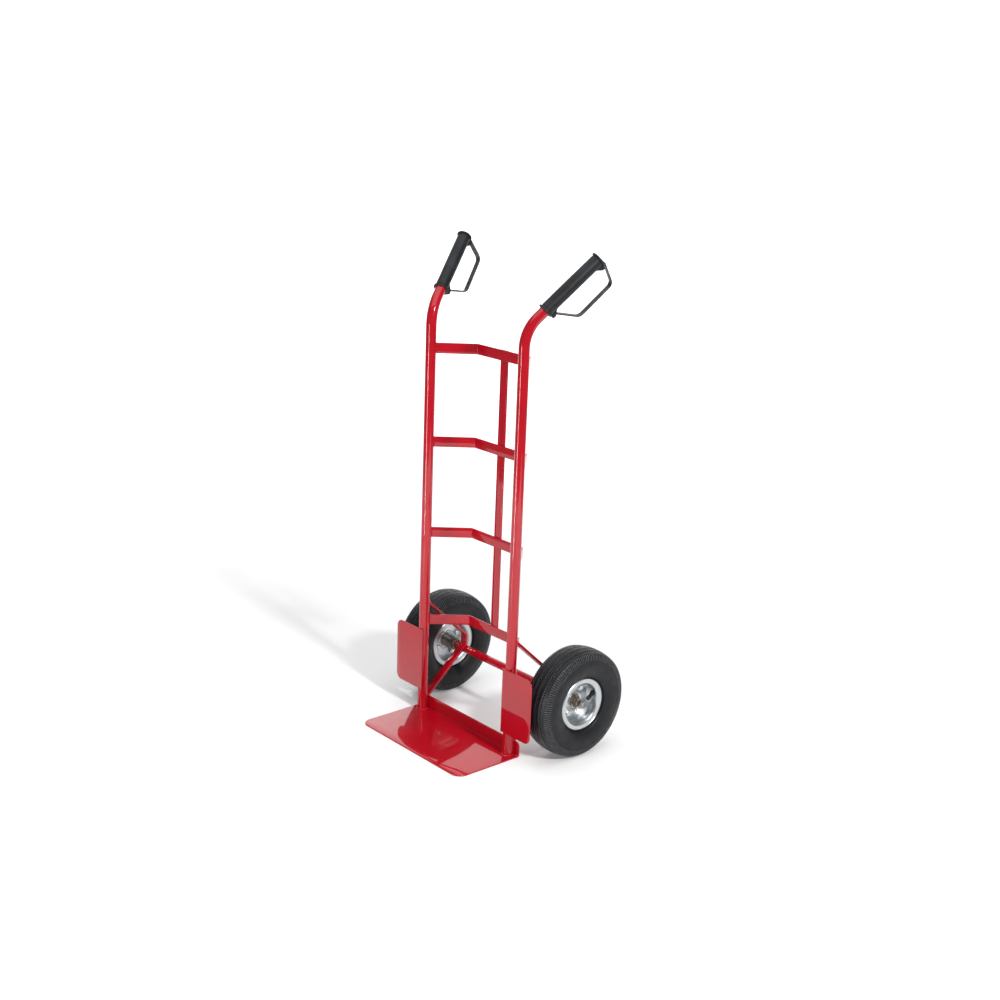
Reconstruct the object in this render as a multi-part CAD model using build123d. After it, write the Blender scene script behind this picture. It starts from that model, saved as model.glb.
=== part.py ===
from build123d import *
import math
import os

# Hand truck. Millimetres, +Z up, +Y towards the back (wheels and handles), +X to the right-hand
# wheel. The origin is on the floor, midway between the two rails and level with their axes.
# Right-hand pieces are modelled and the left-hand ones are their mirror images.

# ---- rails and handles
RAIL_SPACING = 321.0          # between the axes of the two rails
RAIL_D = 25.0
RAIL_WALL = 1.5
BEND_HEIGHT = 961.0           # where the straight rail starts to bend back
BEND_RADIUS = 90.0            # to the tube's axis
HANDLE_ANGLE = 46.4           # from vertical
HANDLE_SPLAY = 24.0           # handles turn outwards about their rail
HANDLE_NECK = 20.0            # straight tube between the bend and the grip

# ---- cross bars and centre strap
BAR_COUNT = 4
BAR_FIRST_HEIGHT = 238.5      # middle of the lowest bar
BAR_BELOW_BEND = 52.0         # middle of the top bar, below the rails' bend
BAR_WIDTH = 25.0
BAR_THICK = 3.0
BAR_DEPTH = 84.5              # from the rail axis back to the bar's middle run
BAR_HALF_RUN = 91.0           # half of the straight middle run
BAR_BEND_RADIUS = 3.5
STRAP_WIDTH = 25.0
STRAP_THICK = 3.0

# ---- toe plate and wheel guards
PLATE_MARGIN = 12.0           # plate outside the rails
PLATE_REACH = 169.5           # from the rail axis forward
PLATE_THICK = 3.0
PLATE_BEND_RADIUS = 3.2       # to the middle of the sheet
UPSTAND_HEIGHT = 36.0
PLATE_CORNER = 26.0
UPSTAND_CORNER = 12.0
GUARD_WIDTH = 100.0
GUARD_BOTTOM = 60.0
GUARD_TOP = 217.0
GUARD_THICK = 2.0
GUARD_CORNER = 18.0

# ---- axle and its brackets
AXLE_D = 20.0
AXLE_WALL = 4.0
AXLE_END = 18.0               # axle end beyond the wheel's middle plane
BRACKET_WIDTH = 20.0
BRACKET_THICK = 6.0
BRACKET_ABOVE = 22.0          # upper leg's end on the rail, above the top of the wheel
BRACKET_SLOPE = 42.2          # upper leg, below horizontal
BRACKET_BEND_RADIUS = 11.0

# ---- wheels
WHEEL_D = 260.0
WHEEL_BESIDE = 23.0           # between a rail and the tyre beside it
WHEEL_BEHIND = 15.5           # between a wheel guard and the tyre behind it
TYRE_WIDTH = 80.0
TYRE_WALL = 6.0
BEAD_WIDTH = 7.0
BEAD_HEEL = 5.0               # chamfer of the bead against the rim's flange
FLANGE_COVER = 2.0            # the tyre's foot beyond the rim's flange, along the axle
FLANGE_RISE = 1.0
BEAD_NECK = 2.0               # the casing opens this much inside the flange's edge
FLANGE_GAP = 0.8              # tyre off the edge of the rim's flange
TYRE_WIDEST = 37.0            # the widest place, below the tread
SHOULDER = ((4.0, 11.0), (5.4, 6.2), (9.0, 2.8))   # in from the widest place, below the tread
CAVITY_FOOT = (8.0, 4.0)      # in from the side wall, above the flange
CAVITY_SHOULDER = (6.0, 17.0)   # in from the side wall, below the tread
TREAD_EXTRA = 3.0             # the casing is this much thicker under its tread
TREAD_GROOVES = (-22.0, -7.5, 7.5, 22.0)
GROOVE_WIDTH = 3.2
GROOVE_DEPTH = 3.0
BEAD_SEAT_R = 50.8
RIM_FLANGE_R = 63.5
RIM_HALF_WIDTH = 28.0
RIM_SHEET = 2.0
RIM_DISC_R = 43.0             # where the flat disc turns into the wall
RIM_BENDS = (3.0, 4.0, 5.0)    # disc to wall, wall to bead seat, seat to flange
RIM_WALL_END = 8.0            # where the wall meets the bead seat, along the axle
DISC_PLANE = -2.0             # where the two rim discs meet, along the axle
HUB_WALL = 3.0
HUB_INNER_END = -36.0
HUB_OUTER_END = 2.0
BOLT_COUNT = 4
BOLT_CIRCLE_R = 33.5
BOLT_D = 8.0
BOLT_FLATS = 13.0
BOLT_HEAD = 5.3
BOLT_TAIL = 1.5               # beyond the nut
NUT_HEIGHT = 6.5
ROLLER_COUNT = 12
ROLLER_LENGTH = 27.0
ROLLER_ROOM = 4.0             # between the axle and the hub
CAGE_GAP = 0.6
CAGE_SHORTER = 1.0            # than the hub, at both ends
POCKET_PLAY = 0.6
TUBE_SKIN = 2.0
TUBE_ROOM = 3.0               # inner tube to the casing's side wall
TUBE_TREAD_ROOM = 4.5         # inner tube to the casing under its tread
VALVE_ANGLE = 20.0            # lean of the valve towards the outside
VALVE_LENGTH = 30.0
VALVE_CAP_LENGTH = 11.0
VALVE_CAP_WALL = 0.4
VALVE_CAP_EDGE = 1.2
VALVE_R = 4.3
VALVE_FLARE = 1.5             # wider foot of the stem, outside the rim
VALVE_FOOT_LENGTH = 6.0
VALVE_TAIL = 14.0             # stem inside the casing
VALVE_AXIAL = 13.0            # valve hole, outwards from the wheel's middle plane
WHEEL_TURN = {"right": 57.0, "left": 25.0}   # angle of the first rim bolt
VALVE_LEAD = -42.0            # valve, from the first rim bolt

# ---- grips and knuckle guards
GRIP_LENGTH = 164.0
GRIP_WALL = 2.5
GRIP_FLANGE = 4.5
GRIP_FLANGE_RISE = 3.0
GRIP_CAP = 4.0
GRIP_EDGE = 1.5
GUARD_TWIST = 16.6            # knuckle guard turned inwards about the grip
KNUCKLE_WIDTH = 12.0
KNUCKLE_THICK = 3.0
KNUCKLE_ENDS = (9.5, 167.0)   # places along the grip
KNUCKLE_BITE = 0.4            # how deep the strip's ends sit in the grip
KNUCKLE_BENDS = ((153.0, 56.5), (53.0, 59.0))   # place along the grip, height off it
KNUCKLE_RADII = (14.0, 18.0)
SOCKET_WIDTH = 18.0
SOCKET_RISE = 10.0
SOCKET_LENGTH = 20.0
SOCKET_ROOT = 2.0             # how deep the wedges sit in the grip
SOCKET_TIPS = (6.0, 4.0)      # lower and upper wedge's tip, from its flange

# ---- clearances
FIT = 0.02                    # pieces of one body that sit on each other
RUNNING = 0.10                # rollers on the axle and in the hub
BOLT_PLAY = 0.3
PIN_PLAY = 0.15
BEAD_PLAY = 0.35              # tyre bead on its seat
SIDE_PLAY = 0.5               # hub between collar and washer

# ---- small hardware
WASHER_RIM = 5.0              # wider than the axle, all round
WASHER_THICK = 2.5
COLLAR_RIM = 4.0
COLLAR_LENGTH = 8.0
PIN_D = 3.8
PIN_BELOW = 10.0              # beyond the axle
PIN_ABOVE = 2.0
PIN_EYE_R = 3.4
PIN_EYE_WIRE = 1.3
PIN_LEG = 7.0
PIN_SPREAD = 35.0
PIN_SPLIT = 1.0               # the legs start this much inside the shank

RAIL_R = RAIL_D / 2
RAIL_X = RAIL_SPACING / 2
WHEEL_R = WHEEL_D / 2
WHEEL_X = RAIL_X + RAIL_R + WHEEL_BESIDE + TYRE_WIDTH / 2
AXLE_R = AXLE_D / 2
AXLE_BEHIND = WHEEL_R + WHEEL_BEHIND - RAIL_R
HUB_BORE = AXLE_D + 2 * ROLLER_ROOM
HUB_D = HUB_BORE + 2 * HUB_WALL
BAR_PITCH = (BEND_HEIGHT - BAR_BELOW_BEND - BAR_FIRST_HEIGHT) / (BAR_COUNT - 1)
BRACKET_TOP = WHEEL_D + BRACKET_ABOVE
UPSTAND_BACK = RAIL_R + PLATE_THICK
GRIP_R = RAIL_R + GRIP_WALL


def left_of(shape):
    """The left-hand twin of a right-hand piece."""
    return mirror(shape, about=Plane.YZ)


def offset_points(points, distance):
    """The corners of a polyline moved sideways, to its left, by distance."""
    runs = [(Vector(*b) - Vector(*a)).normalized() for a, b in zip(points, points[1:])]
    sides = [Vector(-run.Y, run.X) * distance for run in runs]
    moved = [Vector(*points[0]) + sides[0]]
    for corner, before, after in zip(points[1:-1], sides, sides[1:]):
        mitre = before + after
        moved.append(Vector(*corner) + mitre * (2 * distance**2 / mitre.dot(mitre)))
    return moved + [Vector(*points[-1]) + sides[-1]]


def strip_face(points, thickness, radii):
    """A bent sheet seen on edge: a polyline of the given thickness, radii to its middle."""
    turns = []
    for a, b, c in zip(points, points[1:], points[2:]):
        cross = (b[0] - a[0]) * (c[1] - b[1]) - (b[1] - a[1]) * (c[0] - b[0])
        turns.append(math.copysign(1, cross))
    half = thickness / 2
    sides = []
    for side in (half, -half):
        corner_radii = [r - turn * side for r, turn in zip(radii, turns)]
        sides.append(FilletPolyline(*offset_points(points, side), radius=corner_radii))
    ends = [Line(sides[0] @ 0, sides[1] @ 0), Line(sides[0] @ 1, sides[1] @ 1)]
    return make_face([edge for part in (*sides, *ends) for edge in part.edges()])


def ring(outer_r, inner_r, start, end):
    """A round ring about X, from start to end along X."""
    middle = Pos((start + end) / 2, (outer_r + inner_r) / 2)
    return revolve(middle * Rectangle(end - start, outer_r - inner_r), Axis.X)


def rod(radius, start, end):
    """A round bar about X, from start to end along X."""
    return Pos((start + end) / 2, 0, 0) * Rot(0, 90, 0) * Cylinder(radius, end - start)


# ---- frame

def rail_path():
    """A rail's axis in a plane of its own (Y back, Z up), the grip's start and direction."""
    angle = math.radians(HANDLE_ANGLE)
    bend = Vector(0, BEND_RADIUS * (1 - math.cos(angle)), BEND_HEIGHT + BEND_RADIUS * math.sin(angle))
    along = Vector(0, math.sin(angle), math.cos(angle))
    upright = Line((0, 0, PLATE_THICK), (0, 0, BEND_HEIGHT))
    arc = TangentArc((0, 0, BEND_HEIGHT), bend, tangent=(0, 0, 1))
    handle = Line(bend, bend + along * (HANDLE_NECK + GRIP_LENGTH - GRIP_CAP))
    path = Wire([part.edge() for part in (upright, arc, handle)])
    return path, bend + along * HANDLE_NECK, along


def place_handle(shape):
    """From the handle's own plane to the right-hand rail."""
    return Pos(RAIL_X, 0, 0) * Rot(0, 0, -HANDLE_SPLAY) * shape


def make_rail(toe_plate):
    """A hollow rail, notched at its foot for the fold of the toe plate."""
    path = rail_path()[0]
    foot = Plane(origin=(0, 0, PLATE_THICK), z_dir=(0, 0, 1))
    outer = sweep(foot * Circle(RAIL_R), path=path)
    inner = sweep(foot * Circle(RAIL_R - RAIL_WALL), path=path)
    return place_handle(outer - inner) - toe_plate


def make_cross_bar(height):
    """A flat bar bent into a tray, its ends coped to the rails."""
    points = [(-RAIL_X, 0), (-BAR_HALF_RUN, BAR_DEPTH), (BAR_HALF_RUN, BAR_DEPTH), (RAIL_X, 0)]
    face = strip_face(points, BAR_THICK, [BAR_BEND_RADIUS] * 2)
    bar = Pos(0, 0, height - BAR_WIDTH / 2) * extrude(face, BAR_WIDTH)
    for side in (-1, 1):
        bar -= Pos(side * RAIL_X, 0, height) * Cylinder(RAIL_R, 2 * BAR_WIDTH)
    return bar


def make_centre_strap():
    """A flat strap up the back of all the cross bars."""
    bottom = BAR_FIRST_HEIGHT - BAR_WIDTH / 2
    top = BAR_FIRST_HEIGHT + (BAR_COUNT - 1) * BAR_PITCH + BAR_WIDTH / 2
    back = BAR_DEPTH + BAR_THICK / 2 + STRAP_THICK / 2
    return Pos(0, back, (bottom + top) / 2) * Box(STRAP_WIDTH, STRAP_THICK, top - bottom)


def make_toe_plate():
    """One folded sheet: the nose on the floor and the upstand behind the rails."""
    half = PLATE_THICK / 2
    points = [(-PLATE_REACH, half), (UPSTAND_BACK - half, half), (UPSTAND_BACK - half, UPSTAND_HEIGHT)]
    face = Plane.YZ * strip_face(points, PLATE_THICK, [PLATE_BEND_RADIUS])
    plate = extrude(face, RAIL_X + RAIL_R + PLATE_MARGIN, both=True)
    front = plate.edges().filter_by(Axis.Z).group_by(Axis.Y)[0]
    plate = fillet(front, PLATE_CORNER)
    top = plate.edges().filter_by(Axis.Y).group_by(Axis.Z)[-1]
    return fillet(top, UPSTAND_CORNER)


def make_wheel_guard():
    """A flat plate on the front of the rail, from its inner side outwards."""
    inner = RAIL_X - RAIL_R
    middle = (inner + GUARD_WIDTH / 2, -RAIL_R - GUARD_THICK / 2, (GUARD_BOTTOM + GUARD_TOP) / 2)
    plate = Pos(*middle) * Box(GUARD_WIDTH, GUARD_THICK, GUARD_TOP - GUARD_BOTTOM)
    return fillet(plate.edges().filter_by(Axis.Y).group_by(Axis.X)[-1], GUARD_CORNER)


def make_axle_bracket():
    """A V of flat bar: its lower leg rests on the upstand and lies against the axle."""
    foot = (UPSTAND_BACK, UPSTAND_HEIGHT)
    reach = (AXLE_BEHIND - foot[0], WHEEL_R - foot[1])
    rise = math.atan2(reach[1], reach[0]) + math.asin(AXLE_R / math.hypot(*reach))
    fall = math.tan(math.radians(BRACKET_SLOPE))
    corners = [
        (0, BRACKET_TOP + RAIL_R * fall),
        (AXLE_BEHIND, BRACKET_TOP - (AXLE_BEHIND - RAIL_R) * fall),
        (AXLE_BEHIND, foot[1] + (AXLE_BEHIND - foot[0]) * math.tan(rise)),
        (0, foot[1] - foot[0] * math.tan(rise)),
    ]
    points = [tuple(p)[:2] for p in offset_points(corners, -BRACKET_THICK / 2)]
    face = Plane.YZ * strip_face(points, BRACKET_THICK, [BRACKET_BEND_RADIUS] * 2)
    bar = Pos(RAIL_X, 0, 0) * extrude(face, BRACKET_WIDTH / 2, both=True)
    ahead = (Align.CENTER, Align.MAX, Align.MAX)
    below = Pos(RAIL_X, UPSTAND_BACK, UPSTAND_HEIGHT) * Box(RAIL_D, RAIL_D, RAIL_D, align=ahead)
    core = Pos(RAIL_X, 0, 0) * Cylinder(RAIL_R, 2 * BEND_HEIGHT)
    front = Pos(RAIL_X, 0, BEND_HEIGHT) * Box(RAIL_D, RAIL_D, BEND_HEIGHT, align=ahead)
    return bar - below - core - front


# ---- axle and its hardware

def at_axle(shape):
    """From the axle's own axis, along X, to its place."""
    return Pos(0, AXLE_BEHIND, WHEEL_R) * shape


def make_axle():
    """The axle tube, cross-drilled at both ends for the split pins."""
    end = WHEEL_X + AXLE_END
    tube = rod(AXLE_R, -end, end) - rod(AXLE_R - AXLE_WALL, -end, end)
    for side in (-1, 1):
        tube -= Pos(side * pin_place(), 0, 0) * Cylinder(PIN_D / 2 + PIN_PLAY, 2 * AXLE_D)
    return at_axle(tube)


def washer_start():
    return WHEEL_X + HUB_OUTER_END + SIDE_PLAY


def pin_place():
    """Middle of the split pin, just outside the washer."""
    return washer_start() + WASHER_THICK + PIN_D / 2 + PIN_PLAY


def make_axle_washer():
    start = washer_start()
    return at_axle(ring(AXLE_R + WASHER_RIM, AXLE_R + PIN_PLAY, start, start + WASHER_THICK))


def make_stop_collar():
    end = WHEEL_X + HUB_INNER_END - SIDE_PLAY
    return at_axle(ring(AXLE_R + COLLAR_RIM, AXLE_R + FIT, end - COLLAR_LENGTH, end))


def make_split_pin():
    """A pin with an eye above the axle and two spread legs below it."""
    top, bottom = AXLE_R + PIN_ABOVE, -AXLE_R - PIN_BELOW
    shank = Pos(0, 0, (top + bottom) / 2) * Cylinder(PIN_D / 2, top - bottom)
    eye = Pos(0, 0, top + PIN_EYE_R) * Rot(0, 90, 0) * Torus(PIN_EYE_R, PIN_EYE_WIRE)
    pin = shank + eye
    for side in (-1, 1):
        leg = Cylinder(PIN_D / 4, PIN_LEG, align=(Align.CENTER, Align.CENTER, Align.MAX))
        pin += Pos(0, side * PIN_D / 4, bottom + PIN_SPLIT) * Rot(side * PIN_SPREAD, 0, 0) * leg
    return at_axle(Pos(pin_place(), 0, 0) * pin)


# ---- grip and knuckle guard, in the grip's own frame: Z along the grip, Y to the guard

def place_grip(shape):
    _, start, along = rail_path()
    frame = Plane(origin=start, x_dir=(1, 0, 0), z_dir=along)
    return place_handle(frame.location * Rot(0, 0, GUARD_TWIST) * shape)


def knuckle_strip():
    """The bent flat strip of the knuckle guard."""
    ends = [(GRIP_R - KNUCKLE_BITE, place) for place in KNUCKLE_ENDS]
    bends = [(GRIP_R + height, place) for place, height in KNUCKLE_BENDS]
    points = [ends[1], *bends, ends[0]]
    face = Plane.YZ * strip_face(points, KNUCKLE_THICK, KNUCKLE_RADII)
    return extrude(face, KNUCKLE_WIDTH / 2, both=True)


def socket(start, end, tip):
    """A wedge below the grip that takes one end of the knuckle guard."""
    inside, outside = GRIP_R - SOCKET_ROOT, GRIP_R + SOCKET_RISE
    corners = [(inside, start), (outside, tip), (outside, end), (inside, end)]
    outline = Plane.YZ * make_face(Polyline(corners, close=True))
    return extrude(outline, SOCKET_WIDTH / 2, both=True)


def make_grip_and_guard():
    strip = knuckle_strip()
    middle = (GRIP_LENGTH - 2 * GRIP_FLANGE) / 2 + GRIP_FLANGE
    grip = Pos(0, 0, middle) * Cylinder(GRIP_R, GRIP_LENGTH - 2 * GRIP_FLANGE)
    for z in (GRIP_FLANGE / 2, GRIP_LENGTH - GRIP_FLANGE / 2):
        grip += Pos(0, 0, z) * Cylinder(GRIP_R + GRIP_FLANGE_RISE, GRIP_FLANGE)
    bottom, top = GRIP_FLANGE, GRIP_LENGTH - GRIP_FLANGE
    grip += socket(top - SOCKET_LENGTH, top, top - SOCKET_TIPS[1])
    grip += socket(bottom + SOCKET_LENGTH, bottom, bottom + SOCKET_TIPS[0])
    bore = Cylinder(RAIL_R + FIT, GRIP_LENGTH - GRIP_CAP, align=(Align.CENTER, Align.CENTER, Align.MIN))
    grip = fillet(grip.edges().filter_by(GeomType.CIRCLE).group_by(Axis.Z)[-1], GRIP_EDGE)
    return place_grip(grip - bore - strip), place_grip(strip)


# ---- one wheel, about X, outside towards +X

def rim_half(direction):
    """One pressed half: disc, wall, bead seat and flange; direction is +1 for the outer half."""
    half = RIM_SHEET / 2
    disc = DISC_PLANE + direction * half
    seat = BEAD_SEAT_R - half
    edge = direction * (RIM_HALF_WIDTH - half)
    points = [
        (disc, HUB_D / 2 + FIT),
        (disc, RIM_DISC_R),
        (direction * RIM_WALL_END, seat),
        (edge, seat),
        (edge, RIM_FLANGE_R),
    ]
    sheet = revolve(strip_face(points, RIM_SHEET, RIM_BENDS), Axis.X)
    hole = Pos(0, BOLT_CIRCLE_R, 0) * rod(BOLT_D / 2 + BOLT_PLAY, -RIM_HALF_WIDTH, RIM_HALF_WIDTH)
    return sheet - bolt_group(hole)


def hexagon(start, end):
    """A hexagonal prism along X, at the bolt circle."""
    prism = extrude(Plane.YZ * RegularPolygon(BOLT_FLATS / 2, 6, major_radius=False), end - start)
    return Pos(start, BOLT_CIRCLE_R, 0) * prism


def bolt_group(shape):
    """The same piece at every bolt of the rim, as separate solids."""
    return Compound([Rot(turn * 360 / BOLT_COUNT, 0, 0) * shape for turn in range(BOLT_COUNT)])


def make_rim_bolts():
    head = DISC_PLANE + RIM_SHEET
    nut = DISC_PLANE - RIM_SHEET - NUT_HEIGHT
    shank = Pos(0, BOLT_CIRCLE_R, 0) * rod(BOLT_D / 2, nut - BOLT_TAIL, head + BOLT_HEAD / 2)
    return bolt_group(hexagon(head, head + BOLT_HEAD) + shank)


def make_rim_nuts():
    start = DISC_PLANE - RIM_SHEET - NUT_HEIGHT
    end = start + NUT_HEIGHT
    hole = Pos(0, BOLT_CIRCLE_R, 0) * rod(BOLT_D / 2 + FIT, start - NUT_HEIGHT, end + NUT_HEIGHT)
    return bolt_group(hexagon(start, end) - hole)


def make_hub():
    return ring(HUB_D / 2, HUB_BORE / 2, HUB_INNER_END, HUB_OUTER_END)


def roller_group(radius, length):
    """Rollers evenly round the axle, all the same size."""
    pitch = (AXLE_R + HUB_BORE / 2) / 2
    middle = (HUB_INNER_END + HUB_OUTER_END) / 2
    one = Pos(0, pitch, 0) * rod(radius, middle - length / 2, middle + length / 2)
    return [Rot(turn * 360 / ROLLER_COUNT, 0, 0) * one for turn in range(ROLLER_COUNT)]


def make_rollers():
    radius = (HUB_BORE / 2 - AXLE_R) / 2 - RUNNING
    return Compound(roller_group(radius, ROLLER_LENGTH))


def make_roller_cage():
    """A ring with a pocket through its wall for every roller."""
    start, end = HUB_INNER_END + CAGE_SHORTER, HUB_OUTER_END - CAGE_SHORTER
    cage = ring(HUB_BORE / 2 - CAGE_GAP, AXLE_R + CAGE_GAP, start, end)
    pocket_r = (HUB_BORE / 2 - AXLE_R) / 2
    for pocket in roller_group(pocket_r, ROLLER_LENGTH + POCKET_PLAY):
        cage -= pocket
    return cage


def make_tyre():
    """A casing open at the rim, with square grooves round its tread."""
    w, r = TYRE_WIDTH / 2, WHEEL_R
    bead_r = BEAD_SEAT_R + BEAD_PLAY
    bead_a = RIM_HALF_WIDTH - RIM_SHEET - BEAD_PLAY
    clear_r = RIM_FLANGE_R + FLANGE_GAP
    toe = (bead_a - BEAD_WIDTH, bead_r)
    heel = ((bead_a - BEAD_HEEL, bead_r), (bead_a, bead_r + BEAD_HEEL))
    lip = ((bead_a, clear_r), (RIM_HALF_WIDTH + FLANGE_COVER, clear_r + FLANGE_RISE))
    start, middle, end = [(w - inwards, r - down) for inwards, down in SHOULDER]
    outside = [
        Line(toe, heel[0]),
        Line(heel[0], heel[1]),
        Line(heel[1], lip[0]),
        Line(lip[0], lip[1]),
        ThreePointArc(lip[1], (w, r - TYRE_WIDEST), start),
        ThreePointArc(start, middle, end),
        ThreePointArc(end, (0, r), (-end[0], end[1])),
    ]
    wall = w - TYRE_WALL
    neck = (toe[0], clear_r - BEAD_NECK)
    foot = (wall - CAVITY_FOOT[0], clear_r + CAVITY_FOOT[1])
    roof = (wall - CAVITY_SHOULDER[0], r - CAVITY_SHOULDER[1])
    inside = [
        Line(toe, neck),
        Line(neck, foot),
        ThreePointArc(foot, (wall, r - TYRE_WIDEST), roof),
        ThreePointArc(roof, (0, r - TYRE_WALL - TREAD_EXTRA), (-roof[0], roof[1])),
    ]
    edges = []
    for curve in outside + inside:
        edges.append(curve.edge())
        if curve not in (outside[-1], inside[-1]):
            edges.append(mirror(curve, about=Plane.YZ).edge())
    casing = revolve(make_face(edges), Axis.X)
    for place in TREAD_GROOVES:
        start, end = place - GROOVE_WIDTH / 2, place + GROOVE_WIDTH / 2
        casing -= ring(r + GROOVE_DEPTH, r - GROOVE_DEPTH, start, end)
    return casing


def tube_ring(shrink):
    """The inner tube's outline turned about the axle, less a skin."""
    low, high = RIM_FLANGE_R - TUBE_ROOM, WHEEL_R - TYRE_WALL - TUBE_TREAD_ROOM
    half_width = TYRE_WIDTH / 2 - TYRE_WALL - TUBE_ROOM
    outline = Pos(0, (low + high) / 2) * Ellipse(half_width - shrink, (high - low) / 2 - shrink)
    return revolve(outline, Axis.X)


def make_inner_tube():
    return tube_ring(0) - tube_ring(TUBE_SKIN)


def place_valve(shape):
    """From the valve's own frame, Z towards the hub, to its hole in the bead seat."""
    lean = Pos(VALVE_AXIAL, 0, BEAD_SEAT_R) * Rot(0, 180 - VALVE_ANGLE, 0)
    return Rot(VALVE_LEAD - 90, 0, 0) * lean * shape


def make_valve_stem():
    """Rubber stem from the inner tube through the rim, stepped where it grips the hole."""
    up = (Align.CENTER, Align.CENTER, Align.MIN)
    foot_r = VALVE_R + VALVE_FLARE
    lean = math.radians(VALVE_ANGLE)
    foot = RIM_SHEET / math.cos(lean) + foot_r * math.tan(lean) + PIN_PLAY
    length = VALVE_TAIL + VALVE_LENGTH - VALVE_CAP_LENGTH
    stem = Pos(0, 0, -VALVE_TAIL) * Cylinder(VALVE_R, length, align=up)
    stem += Pos(0, 0, foot) * Cone(foot_r, VALVE_R, VALVE_FOOT_LENGTH, align=up)
    return place_valve(stem) - tube_ring(0)


def make_valve_cap():
    up = (Align.CENTER, Align.CENTER, Align.MIN)
    cap = Cylinder(VALVE_R + VALVE_CAP_WALL, VALVE_CAP_LENGTH, align=up)
    cap = fillet(cap.edges().group_by(Axis.Z)[-1], VALVE_CAP_EDGE)
    return place_valve(Pos(0, 0, VALVE_LENGTH - VALVE_CAP_LENGTH) * cap)


def make_rim_outer():
    """The outer half, with the valve's hole in its bead seat."""
    hole = place_valve(Cylinder(VALVE_R + PIN_PLAY, 2 * VALVE_TAIL))
    return rim_half(1) - hole


def wheel_pieces():
    """Every piece of one wheel by name, about the wheel's own centre."""
    return {
        "tyre": make_tyre(),
        "inner_tube": make_inner_tube(),
        "rim_outer": make_rim_outer(),
        "rim_inner": rim_half(-1),
        "rim_bolts": make_rim_bolts(),
        "rim_nuts": make_rim_nuts(),
        "hub_tube": make_hub(),
        "roller_cage": make_roller_cage(),
        "rollers": make_rollers(),
        "valve_stem": make_valve_stem(),
        "valve_cap": make_valve_cap(),
    }


# ---- the whole truck

def build():
    """All the pieces of the hand truck, by node name."""
    toe_plate = make_toe_plate()
    rail = make_rail(toe_plate)
    grip, knuckle_guard = make_grip_and_guard()
    pieces = {"toe_plate": toe_plate, "centre_strap": make_centre_strap(), "axle": make_axle()}
    for number in range(BAR_COUNT):
        pieces[f"cross_bar_{number + 1}"] = make_cross_bar(BAR_FIRST_HEIGHT + number * BAR_PITCH)
    pairs = {
        "rail": rail,
        "wheel_guard": make_wheel_guard(),
        "axle_bracket": make_axle_bracket(),
        "grip": grip,
        "knuckle_guard": knuckle_guard,
        "stop_collar": make_stop_collar(),
        "axle_washer": make_axle_washer(),
        "split_pin": make_split_pin(),
    }
    for name, shape in pairs.items():
        pieces[f"{name}_right"] = shape
        pieces[f"{name}_left"] = left_of(shape)
    for name, shape in wheel_pieces().items():
        turned = {side: Rot(angle, 0, 0) * shape for side, angle in WHEEL_TURN.items()}
        right = Pos(WHEEL_X, AXLE_BEHIND, WHEEL_R)
        pieces[f"{name}_right"] = right * turned["right"]
        pieces[f"{name}_left"] = left_of(right * turned["left"])
    return pieces


os.makedirs("parts", exist_ok=True)
for node, piece in build().items():
    export_step(piece, f"parts/{node}.step")
    print(node, "ok")
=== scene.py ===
"""Looks of a two-wheeled hand truck: smooth meshes, weld beads, finishes, studio and camera.

Every size is in metres. X points at the right-hand wheel, Y backwards and Z up. Right-hand
pieces are worked out first, and the left-hand ones are their mirror images.
"""

import logging
import math
from collections.abc import Callable, Sequence
from dataclasses import dataclass, field
from enum import Enum

import bmesh
import bpy
import numpy as np
from mathutils import Matrix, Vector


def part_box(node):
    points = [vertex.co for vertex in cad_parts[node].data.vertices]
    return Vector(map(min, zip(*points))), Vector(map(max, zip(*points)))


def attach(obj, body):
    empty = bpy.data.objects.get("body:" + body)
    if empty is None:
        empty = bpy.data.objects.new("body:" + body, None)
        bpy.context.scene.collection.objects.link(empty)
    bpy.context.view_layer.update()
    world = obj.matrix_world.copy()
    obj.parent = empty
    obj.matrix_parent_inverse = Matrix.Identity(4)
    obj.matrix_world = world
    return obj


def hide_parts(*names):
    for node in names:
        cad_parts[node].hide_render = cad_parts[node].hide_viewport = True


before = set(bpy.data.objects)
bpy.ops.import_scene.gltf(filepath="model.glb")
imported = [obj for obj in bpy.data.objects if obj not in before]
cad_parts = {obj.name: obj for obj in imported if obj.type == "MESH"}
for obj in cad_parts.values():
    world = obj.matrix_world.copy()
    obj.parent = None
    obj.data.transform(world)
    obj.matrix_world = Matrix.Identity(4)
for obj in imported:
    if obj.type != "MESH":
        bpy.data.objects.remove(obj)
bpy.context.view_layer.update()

LOG = logging.getLogger("hand_truck")
MM = 0.001
OFF_AXIS = (0.36, 0.48, 0.8)  # a direction that no seam runs along
Array = np.ndarray
Place = Callable[[Array], Array]


class Side(Enum):
    """The two sides of the truck, with the sign of their X."""

    LEFT = -1
    RIGHT = 1

    @property
    def label(self) -> str:
        """The side's name as it ends a node's name."""
        return self.name.lower()


# ---- shapes worked out as arrays


def unit(vector: Array) -> Array:
    """The vector divided by its length."""
    return vector / np.linalg.norm(vector, axis=-1, keepdims=True)


def joined(*coordinates: float | Array) -> Array:
    """Coordinates, each a number or an array, stretched to one shape and put side by side."""
    return np.stack(np.broadcast_arrays(*coordinates), -1)


def mm(*points: float | Sequence[float]) -> Array:
    """Lengths or points given in millimetres, in metres."""
    return np.array(points) * MM


def smooth_step(value: Array, low: float, high: float) -> Array:
    """A rise from 0 at low to 1 at high, as 3t squared minus 2t cubed."""
    t = np.clip((value - low) / (high - low), 0.0, 1.0)
    return t * t * (3.0 - 2.0 * t)


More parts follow.
